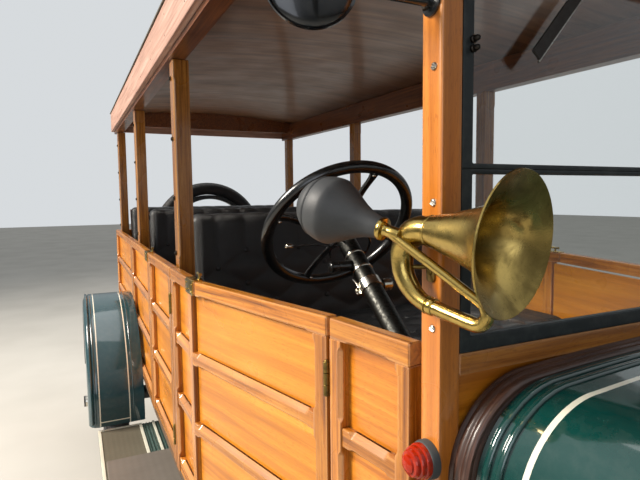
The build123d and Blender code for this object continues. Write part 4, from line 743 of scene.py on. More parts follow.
half_gap = DOOR_GAP / 2
door_a = wall_line("front_door", "b_panel", half_gap, half_gap)
belt_a = door_a[2]
door_a = (door_a[0], door_a[1], belt_a + LATCH_JOG)
door_b = wall_line("second_door", "c_panel", half_gap, half_gap)
quarter = wall_line("quarter", "front_door", 0.0, half_gap + 0.003)
b_wall = wall_line("b_panel", "second_door", half_gap + LATCH_JOG + 0.003, half_gap + 0.003)
c_wall = wall_line("c_panel", "rear_panel", half_gap + 0.003, 0.0005)
rear_wall = wall_line("rear_panel", "tail", 0.0005, 0.0)
door_low = SILL_Z + DOOR_GAP
front_door = framed_panel(door_a, door_low, belt=(0.0, belt_a), rear_stile=False)
second_door = framed_panel(door_b, door_low)
quarter_boards = framed_panel(quarter, SILL_Z, stile=QUARTER_STILE)
b_boards = framed_panel(b_wall, SILL_Z, belt=(-LATCH_JOG, b_wall[2]))
c_boards = framed_panel(c_wall, SILL_Z)
rear_boards = framed_panel(rear_wall, SILL_Z)
tail_half = SEAMS["tail"][1] - WALL - 0.001
tail_line = (place(-tail_half, SEAMS["tail"][0], 0), RIGHT, 2 * tail_half)
tail_boards = framed_panel(tail_line, SILL_Z)


def knuckles(line):
    """Moving ends of the two butt hinges on a door's front edge."""
    ends = []
    for middle in (1.083, 0.700):
        for side in (-1, 1):
            z = middle + side * 0.058 / 3
            ends.append(turned([(0.0046, -0.0092), (0.0052, -0.0086), (0.0052, 0.0086), (0.0046, 0.0092)],
                               line[0] + UP * z, UP, 16))
        ends.append(dome(line[0] + UP * (middle + 0.029), UP, 0.0035, 0.003))
    return ends


for side, turn in (("right", list), ("left", lambda pieces: [flipped(p) for p in pieces])):
    wall_frames = quarter_boards[0] + b_boards[0] + c_boards[0] + rear_boards[0]
    wall_skins = b_boards[1] + c_boards[1] + rear_boards[1]
    make("wall_framing_" + side, turn(wall_frames), rail_wood, replaces="side_wall_" + side)
    make("wall_panels_" + side, turn(wall_skins), panel_wood)
    make("quarter_panel_" + side, turn(quarter_boards[1]), quarter_wood)
    for name, boards, line in (("front_door", front_door, door_a), ("second_door", second_door, door_b)):
        body = name + "_" + side
        make(name + "_framing_" + side, turn(boards[0]), rail_wood, body, replaces=body)
        make(name + "_panel_" + side, turn(boards[1]), panel_wood, body)
        make(name + "_hinge_knuckles_" + side, turn(knuckles(line)), old_brass, body)
make("tail_framing", tail_boards[0], rail_wood, replaces="tail_panel")
make("tail_skin", tail_boards[1], panel_wood)

# Brass latches: a plate folded over the belt rail's end, and a T knob behind it
latches = []
for line, back in ((b_wall, -LATCH_JOG), (c_wall, 0.0)):
    start, along, _ = line
    out = np.cross(UP, along)
    corner = start + along * (back + 0.024) + UP * BELT_Z
    latches.append(plate(rounded(0.036, 0.017, 0.003), [(-0.001, 0), (0.0018, 0), (0.0022, 0.0005)],
                         corner + along * 0.014 - UP * 0.0172, -along, UP))
    latches.append(plate(rounded(0.036, 0.012, 0.002), [(-0.001, 0), (0.0018, 0), (0.0022, 0.0005)],
                         corner + along * 0.014 - out * 0.0115, along, out))
    for da, dz in ((-0.014, -0.009), (0.042, -0.009), (-0.014, -0.026), (0.042, -0.026)):
        latches += screw(corner + along * da + UP * dz + out * 0.0022, out, 0.0026)
    post = corner - out * 0.020 - along * 0.004
    latches.append(turned([(0.007, -0.001), (0.007, 0.002), (0.0035, 0.004), (0.003, 0.012),
                           (0.003, 0.0125)], post, UP, 20))
    bar = np.linspace(-1, 1, 9)[:, None]
    latches.append(tube(post + UP * 0.0145 + along * bar * 0.013, 0.0028 + 0.0012 * bar[:, 0] ** 2, 12))
make("door_latches", both(latches), brass)

# Posts: one board each, with bolts near the rear edge of the outer face
ROOF_RAKE = math.radians(0.9)
roof_up = np.array([0.0, -math.sin(ROOF_RAKE), math.cos(ROOF_RAKE)])
roof_back = np.array([0.0, math.cos(ROOF_RAKE), math.sin(ROOF_RAKE)])
roof_start = place(0, ROOF_STATION, ROOF_Z)


def roof_z(station, local=0.0):
    """Height of a surface of the raked roof at a station: local is its height in the roof's own frame."""
    return ROOF_Z + (local + (station - ROOF_STATION) * math.sin(ROOF_RAKE)) / math.cos(ROOF_RAKE)


posts, bolts = [], []
for station in (0.970, 1.976, ROOF_STATION):
    top = roof_z(station + 0.025) - 0.0008
    posts.append(board(place(-POST_X, station, SILL_Z), UP, RIGHT, top - SILL_Z, 0.046, 0.050,
                       [(0, 0.6, top - SILL_Z - 0.05, 0.004)], 0.002))
    for z in (1.72, 1.55, 1.38, 1.22):
        bolts += hexagon(place(-POST_X, station + 0.034, z), -RIGHT, 0.0055, 0.005)
make("body_posts", both(posts), post_wood, replaces="posts")
pillar_top = roof_z(-0.019, 0.045) - 0.0008
pillar = board(place(-PILLAR_X, -0.038, SILL_Z), UP, RIGHT, pillar_top - SILL_Z, 0.0312, 0.038,
               [(0, 0.62, pillar_top - SILL_Z - 0.02, 0.003)], 0.002)
make("windscreen_pillars", both([pillar]), pillar_wood)
make("post_bolts", both(bolts), dark_steel)
pins = []
for z in (1.531, 1.369, 1.213):
    pins += screw(place(-PILLAR_X, -0.024, z), -RIGHT, 0.0048, BACK + 0.4 * UP)
make("pillar_screws", both(pins), steel)
make("pillar_bolts", both(hexagon(place(-PILLAR_X, -0.014, MIRROR_Z), -RIGHT, 0.0085, 0.008)), dark_steel,
     slot="")

# Roof: fascia boards with nails, plywood ceiling in CAD, painted cloth on top
ROOF_HALF, ROOF_FRONT, ROOF_REAR = 0.620, -0.230, 3.105
FASCIA, FASCIA_LOW, FASCIA_HIGH = 0.017, 0.015, 0.129


def roof_point(x, station, local):
    """Point of the raked roof: x, station, and height in the roof's own frame."""
    return roof_start + RIGHT * x + roof_back * (station - ROOF_STATION) + roof_up * local


long, ends, high = ROOF_REAR - ROOF_FRONT, 2 * (ROOF_HALF - FASCIA), FASCIA_HIGH - FASCIA_LOW
corner = roof_point(FASCIA - ROOF_HALF, ROOF_FRONT, FASCIA_HIGH)
fascia = both([board(corner, roof_back, -roof_up, long, high, FASCIA, arris=0.0016)])
for x, station, way in ((-ends / 2, ROOF_FRONT + FASCIA, RIGHT), (ends / 2, ROOF_REAR - FASCIA, -RIGHT)):
    fascia.append(board(roof_point(x, station, FASCIA_LOW), way, roof_up, ends, high, FASCIA, arris=0.0016))
make("fascia_boards", fascia, fascia_wood, replaces="roof_fascia")
nails = []
for station in np.arange(-0.18, 3.1, 0.275):
    for local in (0.045, 0.100):
        nails.append(dome(roof_point(-ROOF_HALF, station, local), -RIGHT, 0.0024, 0.0008, 8))
make("fascia_nails", both(nails), dark_steel, slot="")

# Windscreen: frames, glass and beads of two lights, cap nuts and the wiper
SCREEN_HALF, SCREEN_FRONT = 0.4314, -0.038
SCREEN_LOW, SCREEN_MID, STILE_WIDE, BAR_HIGH = 1.180, 1.410, 0.0165, 0.0050
screen_top = roof_z(-0.038, 0.045) - 0.0005
screen_rear = at(-0.022)
inner = SCREEN_HALF - STILE_WIDE
frames, lights, beads = [], [], []
for low, high, foot, head in ((SCREEN_LOW, SCREEN_MID - 0.0003, 0.0195, BAR_HIGH),
                              (SCREEN_MID + 0.0003, screen_top, BAR_HIGH, 0.0165)):
    for x in (-SCREEN_HALF, inner):
        frames.append(board([x, at(SCREEN_FRONT), low], UP, RIGHT, high - low, STILE_WIDE, 0.016,
                            arris=0.0008))
    for z, bar in ((low, foot), (high - head, head)):
        frames.append(board([-inner - 0.001, screen_rear, z], RIGHT, UP, 2 * inner + 0.002, bar, 0.0158,
                            arris=0.0008))
    open_low, open_high = low + foot, high - head
    lights.append(board([-inner - 0.001, at(-0.028), open_low - 0.001], RIGHT, UP, 2 * inner + 0.002,
                        open_high - open_low + 0.002, 0.004, arris=0.0002))
    loop = rounded(inner, (open_high - open_low) / 2, 0.004, 3)
    path = np.stack([loop[:, 0], np.full(len(loop), at(SCREEN_FRONT) + 0.003),
                     loop[:, 1] + (open_low + open_high) / 2], -1)
    beads.append(tube(path, 0.0014, 8, up=BACK, closed=True))
make("screen_frames", frames, screen_black, replaces="windscreen_frame")
make("screen_lights", lights, window_glass, replaces="windscreen_glass")
make("screen_beads", beads, screen_black)
nuts = []
for z in (1.564, 1.553):
    spot = place(-0.4170, SCREEN_FRONT - 0.002, z)
    nuts.append(turned([(0.0048, -0.003), (0.0048, 0.001), (0.0036, 0.002), (0.0040, 0.005),
                        (0.0032, 0.0080), (0.0015, 0.0095), (0, 0.0098)], spot, -BACK, 16))
make("light_cap_nuts", both(nuts), dark_steel, slot="brass")
wiper_foot = place(-0.136, SCREEN_FRONT - 0.020, 1.780)
wiper_tip = place(-0.3315, SCREEN_FRONT - 0.014, 1.5495)
sway = wiper_tip - wiper_foot
reach = np.linspace(0, 1, 12)[:, None]
arm = tube(wiper_foot + sway * reach * 0.55 + BACK * 0.001, 0.0032, 8, up=BACK)
blade_way = unit(sway)
blade_side = np.cross(blade_way, BACK)
blade = board(wiper_foot + sway * 0.12 - blade_side * 0.0085 - BACK * 0.001, blade_way, blade_side,
              np.linalg.norm(sway) * 0.88, 0.0165, 0.004)
spine = tube(wiper_foot + sway * (0.12 + 0.88 * reach) + blade_side * 0.0095 - BACK * 0.001, 0.0018, 8,
             up=BACK)
pivot = turned([(0.011, -0.0205), (0.011, 0.004), (0.007, 0.008), (0.005, 0.014), (0, 0.0145)], wiper_foot,
               -BACK, 20)
make("wiper", [arm, blade, pivot], wiper_enamel)
make("wiper_spine", spine, steel)

# Dash: sill rail under the windscreen and the panel below it
dash = board(place(-SCREEN_HALF, -0.008, DASH_TOP), RIGHT, UP, 2 * SCREEN_HALF, 0.0277, 0.030, arris=0.0015)
make("screen_sill_rail", dash, rail_wood, replaces="dash_panel")
panel_board = board(place(-SCREEN_HALF, -0.008, SILL_Z), RIGHT, UP, 2 * SCREEN_HALF,
                    DASH_TOP - SILL_Z - 0.0005, 0.022, arris=0.001)
make("dash_board", panel_board, quarter_wood)


def arch(half, top, low, corner, crown=0.010, steps=12):
    """(x, z) and outward (x, z) along an arch, right foot first: upright side, quarter circle of the corner's
    radius, the circle through shoulder, crown and shoulder, and the same again to the left foot."""
    shoulder = top - crown - corner
    side = np.stack([np.full(4, -half), np.linspace(low, shoulder, 4)], -1)[:-1]
    turn = np.linspace(np.pi, np.pi / 2, steps)
    bend = np.stack([-(half - corner) + corner * np.cos(turn), shoulder + corner * np.sin(turn)], -1)
    flat = half - corner
    radius = (flat ** 2 + crown ** 2) / (2 * crown)
    lean = np.linspace(-math.asin(flat / radius), 0, steps)[1:]
    head = np.stack([radius * np.sin(lean), top - radius + radius * np.cos(lean)], -1)
    line = np.concatenate([side, bend, head])
    line = np.concatenate([line, line[-2::-1] * [-1, 1]])
    way = unit(np.gradient(line, axis=0))
    return line, np.stack([-way[:, 1], way[:, 0]], -1)


def on_station(line, station):
    """An (x, z) line set upright across the bus at a station."""
    return np.stack([line[:, 0], np.full(len(line), at(station)), line[:, 1]], -1)


def over_arch(section, half, top, low, corner, station):
    """Moulding over an arch: s runs rearwards from the station, h outwards from the arch."""
    line, out = arch(half, top, low, corner)
    high = np.stack([out[:, 0], np.zeros(len(out)), out[:, 1]], -1)
    return swept(section, on_station(line, station), BACK, high)


# Cowl moulding: 30 mm deep, its ridges and hollows the absolute cosine of the way round its section
t = np.linspace(0, 1, 25)
outer_edge = np.stack([0.030 - 0.030 * t, -0.0022 * (1 - np.abs(np.cos(2.5 * np.pi * t))) - 0.004 * t ** 3],
                      -1)
front_edge = np.stack([0.0018 * (1 - np.abs(np.cos(3 * np.pi * t[:13]))), -0.005 - 0.040 * t[:13]], -1)
section = np.concatenate([outer_edge, front_edge, [[0.030, -0.026]]])
cowl = over_arch(section, 0.449, 1.158, SILL_Z, 0.130, -0.0683)
make("cowl_ridged_moulding", cowl, moulding_wood, replaces="cowl_moulding")
studs = []
for x, z in ((-0.372, 1.103), (-0.30, 1.133), (-0.12, 1.147), (0.12, 1.147), (0.30, 1.133), (0.372, 1.103)):
    studs += screw(place(x, -0.0683, z), -BACK, 0.0042)
make("moulding_screws", studs, steel)

# Scuttle: rolled bead against the moulding, and one ahead of the lining
turn = np.linspace(0, 2 * np.pi, 11)[:-1]
round_bead = np.stack([0.005 * np.cos(turn), 0.0035 * np.sin(turn)], -1)
trims = []
for station, share in ((-0.078, 0.035), (-0.092, 0.09)):
    half = DASH_HALF + (BONNET_WIDE - DASH_HALF) * share
    top = DASH_TOP + (BONNET_TOP - DASH_TOP) * share
    trims.append(over_arch(round_bead, half + 0.0005, top + 0.0005, SILL_Z + 0.002, 0.130, station))
make("scuttle_beads", trims, enamel_green)

# Bulb horn: bell, elbow, return tube and thin pipe in an upright plane beside the pillar
MOUTH = place(-0.454, -0.145, 1.326)
HORN_WAY = unit([0.211, -0.979, -0.043])
horn_ahead = unit([HORN_WAY[0], HORN_WAY[1], 0.0])
horn_side = unit(np.cross(horn_ahead, UP))


def horn_at(ahead, high, side=0.006):
    """Point in the horn's upright plane, measured from the middle of its mouth."""
    return MOUTH + horn_ahead * ahead + UP * high + horn_side * side


def through(points, radii, count):
    """Smooth line through the points: between two of them a cubic whose slope at each is half the step from
    the point before to the point after, evenly spread, with the radii interpolated alike."""
    data = np.column_stack([np.asarray(points, float), np.asarray(radii, float)])
    data = np.concatenate([2 * data[:1] - data[1:2], data, 2 * data[-1:] - data[-2:-1]])
    where = np.linspace(0, len(points) - 1 - 1e-9, count)
    k = where.astype(int)
    u = (where - k)[:, None]
    a, b, c, d = data[k], data[k + 1], data[k + 2], data[k + 3]
    square, cube = 2 * a - 5 * b + 4 * c - d, 3 * b - a - 3 * c + d
    line = 0.5 * (2 * b + (c - a) * u + square * u ** 2 + cube * u ** 3)
    return line[:, :3], line[:, 3]


band_mid = horn_at(-0.106, 0.0102)
bell_way = unit(MOUTH - band_mid)
bell_long = np.linalg.norm(MOUTH - band_mid)
bell_share = np.array([1.0, 0.93, 0.84, 0.74, 0.64, 0.55, 0.46, 0.38, 0.30, 0.23, 0.17, 0.12, 0.08, 0.045,
                       0.02, 0.0])
bell_radius = np.array([17.8, 19.6, 22.0, 24.8, 27.6, 30.3, 33.3, 36.2, 40.0, 44.5, 49.5, 55.0, 61.0, 68.0,
                        73.5, 77.0]) / 1000
outside = np.stack([bell_radius, (1 - bell_share) * bell_long], -1)
lip = [(0.0772, bell_long - 0.0005), (0.0785, bell_long + 0.0006), (0.0778, bell_long + 0.0022),
       (0.0762, bell_long + 0.0014)]
inside = np.stack([bell_radius - 0.0016, (1 - bell_share) * bell_long + 0.0004], -1)[::-1][1:]
bell = turned(np.concatenate([outside, lip, inside]), band_mid, bell_way, 96, shell=True)
make("horn_bell", bell, bell_brass, replaces="horn", smooth=60)
# Middle line of elbow and return tube: ahead and high in metres, radius in millimetres
COIL_POINTS = 120
coil = [(-0.104, 0.0102, 17.6), (-0.1205, 0.0100, 17.8), (-0.1345, 0.0050, 17.3), (-0.1445, -0.0055, 16.2),
        (-0.1500, -0.0172, 15.0), (-0.1508, -0.0290, 14.1), (-0.1480, -0.0435, 13.6),
        (-0.1400, -0.0572, 12.6), (-0.1280, -0.0690, 11.2), (-0.1135, -0.0768, 10.0),
        (-0.0990, -0.0800, 9.3), (-0.0720, -0.0850, 8.8), (-0.0480, -0.0892, 8.6), (-0.0385, -0.0896, 8.3),
        (-0.0305, -0.0850, 7.9), (-0.0268, -0.0765, 7.5), (-0.0300, -0.0680, 7.0)]
coil_path, coil_radius = through([horn_at(a, h) for a, h, _ in coil], [r / 1000 for _, _, r in coil],
                                 COIL_POINTS)
tube_end = horn_at(-0.0355, -0.0645)
ferrule = place(-0.5127, 0.004, 1.3355)
bulb_mid = place(-0.549, 0.076, 1.359)
pipe_path, pipe_radius = through([coil_path[-1], tube_end, tube_end * 0.9 + ferrule * 0.1,
                                  (tube_end + ferrule) / 2, ferrule * 0.92 + tube_end * 0.08, ferrule],
                                  [0.0066, 0.0060, 0.0058, 0.0058, 0.0058, 0.0058], 40)
pipes = [tube(coil_path, coil_radius, 32, up=horn_side), tube(pipe_path, pipe_radius, 20, up=horn_side)]
make("horn_tubes", pipes, brass, smooth=60)
rings = []


def ring_band(centre, way, radius, wide, high=0.0014):
    """Soldered band: a low half-round ridge round a tube."""
    t = np.linspace(0, np.pi, 7)
    return turned(np.stack([radius + high * np.sin(t), -wide / 2 * np.cos(t)], -1), centre, way, 32)


for share, wide in ((0.0, 0.004), (0.06, 0.003)):
    rings.append(ring_band(band_mid + bell_way * (share * 0.1 + 0.001), bell_way, 0.0180, wide))
k = int((COIL_POINTS - 1) * 9.9 / (len(coil) - 1))
way = unit(coil_path[k + 1] - coil_path[k - 1])
rings.append(ring_band(coil_path[k], way, coil_radius[k] + 0.0002, 0.010, 0.0016))
rings.append(ring_band(coil_path[k] - way * 0.007, way, coil_radius[k] + 0.0004, 0.003, 0.0016))
bulb_way = unit(bulb_mid - ferrule)
rings.append(turned([(0.0059, -0.020), (0.0076, -0.0190), (0.0080, -0.0175), (0.0080, -0.0040),
                     (0.0076, -0.0025), (0.0092, 0.0015), (0.0142, 0.0030), (0.0150, 0.0050),
                     (0.0146, 0.0075), (0.0134, 0.0085), (0.0134, 0.0095)], ferrule, bulb_way, 40))
make("horn_bands", rings, brass, smooth=50)
bulb_long = np.linalg.norm(bulb_mid - ferrule)
neck = np.array([(0.0128, 0.008), (0.0137, 0.010), (0.0152, 0.018), (0.0184, 0.029), (0.0236, 0.041),
                 (0.0303, 0.053), (0.0368, 0.064), (0.0415, 0.074)])
BULB_R, BULB_DEEP = 0.0446, 0.0525
bulge = np.linspace(-0.10, np.pi / 2, 22)
big = np.stack([BULB_R * np.cos(bulge), bulb_long + BULB_DEEP * np.sin(bulge)], -1)
seam_at = 0.022 / BULB_DEEP
seam_r = BULB_R * math.sqrt(1 - seam_at ** 2)
seam = np.array([(seam_r + 0.0002, -0.0022), (seam_r + 0.0009, -0.0010), (seam_r + 0.0009, 0.0006),
                 (seam_r - 0.0014, 0.0016)]) + [0, bulb_long + 0.022]
big = big[np.abs(big[:, 1] - seam[1, 1]) > 0.0035]
profile = np.concatenate([neck, big, seam])
profile = profile[np.argsort(profile[:, 1], kind="stable")]
make("horn_bulb", turned(profile, ferrule, bulb_way, 64), bulb_rubber, smooth=50)
clip_spot = place(-PILLAR_X, -0.021, 1.284)
clip = [plate(rounded(0.008, 0.013, 0.006), [(-0.001, 0), (0.0022, 0), (0.0030, 0.0012)], clip_spot, -BACK,
              UP)]
clip += screw(clip_spot - RIGHT * 0.003, -RIGHT, 0.0045)
strap_at = coil_path[int((COIL_POINTS - 1) * 5.6 / (len(coil) - 1))]
clip.append(tube([clip_spot + UP * 0.009 - RIGHT * 0.002,
                  clip_spot + UP * 0.006 - RIGHT * 0.008 + BACK * 0.004, strap_at], 0.003, 10))
make("horn_clip", clip, old_brass)

# Seats: buttoned hide over horsehair, one closed form for each cushion and each backrest


def soft_outline(corners, radii, step):
    """Closed outline with round corners, evenly stepped: straight runs joined by arcs of each corner's
    radius. Gives its points, outward normals, the length along it from the first corner, and its sense."""
    corners = np.asarray(corners, float)
    following = np.roll(corners, -1, axis=0)
    way = np.sign(np.sum(corners[:, 0] * following[:, 1] - following[:, 0] * corners[:, 1]))
    points, normals = [], []
    for k in range(len(corners)):
        here, before, after = corners[k], corners[k - 1], corners[(k + 1) % len(corners)]
        arrive, leave = unit(here - before), unit(after - here)
        bend = math.acos(np.clip(arrive @ leave, -1, 1))
        cut = radii[k] * math.tan(bend / 2)
        n0 = way * np.array([arrive[1], -arrive[0]])
        centre = here - arrive * cut - n0 * radii[k]
        turn = way * np.linspace(0, bend, max(4, int(radii[k] * bend / step)))
        spun = np.stack([n0[0] * np.cos(turn) - n0[1] * np.sin(turn),
                         n0[0] * np.sin(turn) + n0[1] * np.cos(turn)], -1)
        points.append(centre + spun * radii[k])
        normals.append(spun)
        next_bend = math.acos(np.clip(leave @ unit(corners[(k + 2) % len(corners)] - after), -1, 1))
        next_cut = radii[(k + 1) % len(corners)] * math.tan(next_bend / 2)
        run = np.linalg.norm(after - here) - cut - next_cut
        share = np.linspace(0, 1, max(3, int(run / step)) + 1)[1:-1]
        points.append(here + leave * cut + share[:, None] * leave * run)
        normals.append(np.broadcast_to(way * np.array([leave[1], -leave[0]]), (len(share), 2)))
    points, normals = np.concatenate(points), np.concatenate(normals)
    length = np.concatenate([[0], np.cumsum(np.linalg.norm(np.diff(points, axis=0), axis=1))])
    return points, normals, length, way


BUTTON_X, BUTTON_Q = 0.184, 0.108
SEAT_HALF, SEAT_LOW = 0.532, 0.8703
CUSHION_TOP, CUSHION_DEEP = 0.995, 0.430
BACK_TOP, BACK_DEEP = 1.330, 0.095
# Along a pad's outline: the last row of buttons, and the end of the folds that run on from it
LAST_ROW, FOLDS_END = 0.352, 0.54


def tufted(corners, radii, rows_end, folds_end, puff, first_row, half=SEAT_HALF):
    """Buttoned pad. Across x and the length q along its outline, the height is puff times the square root of
    |sin pi a| |sin pi b|, where a and b are x / BUTTON_X plus and minus q / BUTTON_Q; past the last row of
    buttons it is puff times the root of |sin| of x at twice the pitch, for the folds over the edge. The ends
    are drawn in on a quarter round. Gives the pad and its button places."""
    outline, normal, q, way = soft_outline(corners, radii, 0.0075)
    x = np.linspace(-half, half, 151)
    soft_end = 0.030
    t = np.clip((np.abs(x) - (half - soft_end)) / soft_end, 0, 1)
    draw = soft_end * (1 - np.sqrt(np.clip(1 - t ** 2, 0, 1)))
    x = np.concatenate([x[:1], x, x[-1:]])
    draw = np.concatenate([draw[:1] + 0.02, draw, draw[-1:] + 0.02])
    gx, gq = np.meshgrid(x, q, indexing="ij")
    ax = gx / BUTTON_X
    aq = (rows_end - gq) / BUTTON_Q
    diamond = np.abs(np.sin(np.pi * (ax + aq)) * np.sin(np.pi * (ax - aq))) ** 0.6
    fold = np.abs(np.sin(np.pi * gx / (BUTTON_X / 2))) ** 0.6
    edge_line = rows_end - BUTTON_Q / 4 + BUTTON_Q / 4 * np.cos(2 * np.pi * ax)
    blend = np.clip((gq - edge_line) / 0.03 + 0.5, 0, 1)
    blend = blend * blend * (3 - 2 * blend)
    height = diamond * (1 - blend) + 0.75 * fold * blend
    start = np.clip((gq - first_row) / 0.03, 0, 1)
    stop = np.clip((folds_end - gq) / 0.05, 0, 1)
    ends = np.clip((half - 0.012 - np.abs(gx)) / 0.03, 0, 1)
    amount = np.minimum(np.minimum(start, stop), ends)
    height = puff * height * amount - puff * 0.75 * amount
    section = outline[None] + normal[None] * (height - draw[:, None])[..., None]
    points = np.stack([gx, at(section[..., 0]), section[..., 1]], -1)
    n = len(q)
    caps = np.array([np.arange(n), np.arange(n)[::-1] + (len(x) - 1) * n])
    faces = [grid_faces(len(x), n)[:, ::-1], caps]
    pad = part(points, [f[:, ::-1] for f in faces] if way > 0 else faces)
    buttons = []
    for row in range(0, 8):
        for column in range(-6, 7):
            bx = (column + (row % 2) / 2) * BUTTON_X
            bq = rows_end - row * BUTTON_Q / 2
            if abs(bx) < half - 0.03 and bq > first_row + 0.03:
                k = int(np.argmin(np.abs(q - bq)))
                spot = outline[k] - normal[k] * (puff * 0.75 - 0.001)
                buttons.append(dome(place(bx, *spot), [0, *normal[k]], 0.0085, 0.0042, 14))
    return pad, buttons


lean = math.tan(math.radians(8))
for name, station in (("front", 1.000), ("middle", 1.970), ("rear", 2.850)):
    rear, set_back = station + BACK_DEEP, lean * (BACK_TOP - SEAT_LOW)
    back_corners = [(station, SEAT_LOW), (station + set_back, BACK_TOP), (rear + set_back, BACK_TOP),
                    (rear, SEAT_LOW)]
    back, buttons = tufted(back_corners, [0.012, 0.030, 0.030, 0.012], LAST_ROW, FOLDS_END, 0.0065,
                           first_row=0.115)
    pad = make(name + "_backrest", back, black_leather, smooth=180)
    make(name + "_backrest_buttons", buttons, black_leather)
    front, back_face = station - CUSHION_DEEP, station - 0.0006
    cushion_corners = [(back_face, CUSHION_TOP), (front, CUSHION_TOP), (front, SEAT_LOW),
                       (back_face, SEAT_LOW)]
    cushion, buttons = tufted(cushion_corners, [0.02, 0.036, 0.016, 0.012], LAST_ROW, FOLDS_END, 0.0075,
                              first_row=0.01)
    pad = make(name + "_cushion", cushion, black_leather, smooth=180, replaces=name + "_seat")
    make(name + "_cushion_buttons", buttons, black_leather)

# Steering column clamp and levers under the wheel
COLUMN_LEAN, COLUMN_R = math.radians(51), 0.0236
COLUMN_WAY = np.array([0.0, -math.sin(COLUMN_LEAN), -math.cos(COLUMN_LEAN)])
WHEEL_MID = place(-0.262, 0.611, 1.301)


def on_column(t):
    """Point on the column's axis, t down from the middle of the steering wheel."""
    return WHEEL_MID + COLUMN_WAY * t


lug_side = unit(np.cross(COLUMN_WAY, RIGHT))
clamp = [turned([(COLUMN_R, -0.0125), (0.0268, -0.0115), (0.0268, 0.0115), (COLUMN_R, 0.0125)],
                on_column(0.197), COLUMN_WAY, 40)]
for t in (0.104, 0.150):
    clamp.append(turned([(COLUMN_R, -0.003), (0.0246, -0.002), (0.0246, 0.002), (COLUMN_R, 0.003)],
                        on_column(t), COLUMN_WAY, 40))
lug = on_column(0.201) - RIGHT * 0.029 - lug_side * 0.004
clamp.append(board(lug - RIGHT * 0.006 - COLUMN_WAY * 0.009 - lug_side * 0.005, RIGHT, COLUMN_WAY, 0.014,
                   0.018, 0.010, arris=0.003))
clamp += hexagon(lug - lug_side * 0.005, -lug_side, 0.0062, 0.005)
clamp.append(tube([lug - COLUMN_WAY * 0.004, lug - COLUMN_WAY * 0.020,
                   lug - COLUMN_WAY * 0.030 - RIGHT * 0.004], 0.0028, 10, up=RIGHT))
knob = [(0.0100, 0.0238), (0.0100, 0.030), (0.0133, 0.0305), (0.0138, 0.034), (0.0138, 0.048),
        (0.0128, 0.0525), (0.0, 0.0535)]
clamp.append(turned(knob, on_column(0.197), RIGHT, 32))
make("column_clamp", clamp, nickel)
grip = [(0.0112, 0.0238), (0.0124, 0.027), (0.0128, 0.031), (0.0128, 0.066), (0.0132, 0.067),
        (0.0132, 0.071), (0.0120, 0.0745), (0.0075, 0.0775), (0.0, 0.0785)]
make("column_handle", turned(grip, on_column(0.131), -RIGHT, 36), ebonite)
levers, knobs = [], []
for end, bow in ((lug_side * -0.006 - RIGHT * 0.150, 0.016), (lug_side * 0.092 - RIGHT * 0.118, 0.010)):
    t = np.linspace(0, 1, 14)[:, None]
    path = on_column(0.066) + end * (0.12 + 0.88 * t) - COLUMN_WAY * bow * np.sin(np.pi * t * 0.6)
    levers.append(tube(path, 0.0026, 10))
    knobs.append(turned([(0.002, -0.010), (0.0055, -0.007), (0.0068, 0), (0.0058, 0.007), (0.002, 0.010)],
                        path[-1], unit(end), 16))
arc = np.linspace(-0.6, 3.7, 30)[:, None]
quadrant = tube(on_column(0.074) + 0.052 * (np.cos(arc) * RIGHT + np.sin(arc) * lug_side), 0.0028, 8)
make("control_levers", levers + [quadrant], frame_black)
make("control_knobs", knobs, nickel)

# Steering wheel: round rim, hub and four flat spokes that sweep into the rim
WHEEL_R, RIM_R, SPOKE_TURN = 0.187, 0.0145, math.radians(73)


def on_wheel(radius, turn, down=0.0):
    """Point of the wheel at a radius and a turn about its axis, and a height down the column."""
    radius, turn, down = np.broadcast_arrays(radius, turn, down)
    ahead, aside = (radius * np.cos(turn))[:, None] * RIGHT, (radius * np.sin(turn))[:, None] * lug_side
    return WHEEL_MID + ahead + aside + down[:, None] * COLUMN_WAY


rim = tube(on_wheel(WHEEL_R, np.linspace(0, 2 * np.pi, 97)[:-1]), RIM_R, 24, up=COLUMN_WAY, closed=True)
wheel = [rim, turned([(0.0, 0.0085), (0.012, 0.0085), (0.016, 0.011), (0.0305, 0.0195), (0.0325, 0.023),
                      (0.0325, 0.032), (0.029, 0.036), (0.022, 0.041), (0.0, 0.041)], WHEEL_MID, COLUMN_WAY,
                      48)]
t = np.linspace(0, 1, 22)
for k in range(4):
    spoke_turn = SPOKE_TURN + k * np.pi / 2 + 0.10 * np.sin(np.pi * 1.15 * t) * (1 - 0.3 * t) + 0.11 * t ** 5
    path = on_wheel(0.026 + (WHEEL_R - 0.006 - 0.026) * t, spoke_turn,
                    0.028 * (1 - t) ** 2.6 - 0.003 * np.sin(np.pi * t))
    outer, inner = np.clip((t - 0.75) / 0.25, 0, 1), np.clip((0.15 - t) / 0.15, 0, 1)
    wheel.append(tube(path, 0.0088 + 0.0050 * outer ** 2 + 0.003 * inner, 14, up=COLUMN_WAY, flat=0.72))
make("steering_wheel_rim", wheel, ebonite, "steering_wheel", replaces="steering_wheel", smooth=60)
bolts = []
for k in range(4):
    spot = on_wheel(np.array([0.172]), np.array([SPOKE_TURN + k * np.pi / 2 + 0.10]), np.array([0.010]))[0]
    bolts.append(dome(spot, COLUMN_WAY, 0.0042, 0.003, 10))
make("steering_wheel_screws", bolts, nickel, "steering_wheel")

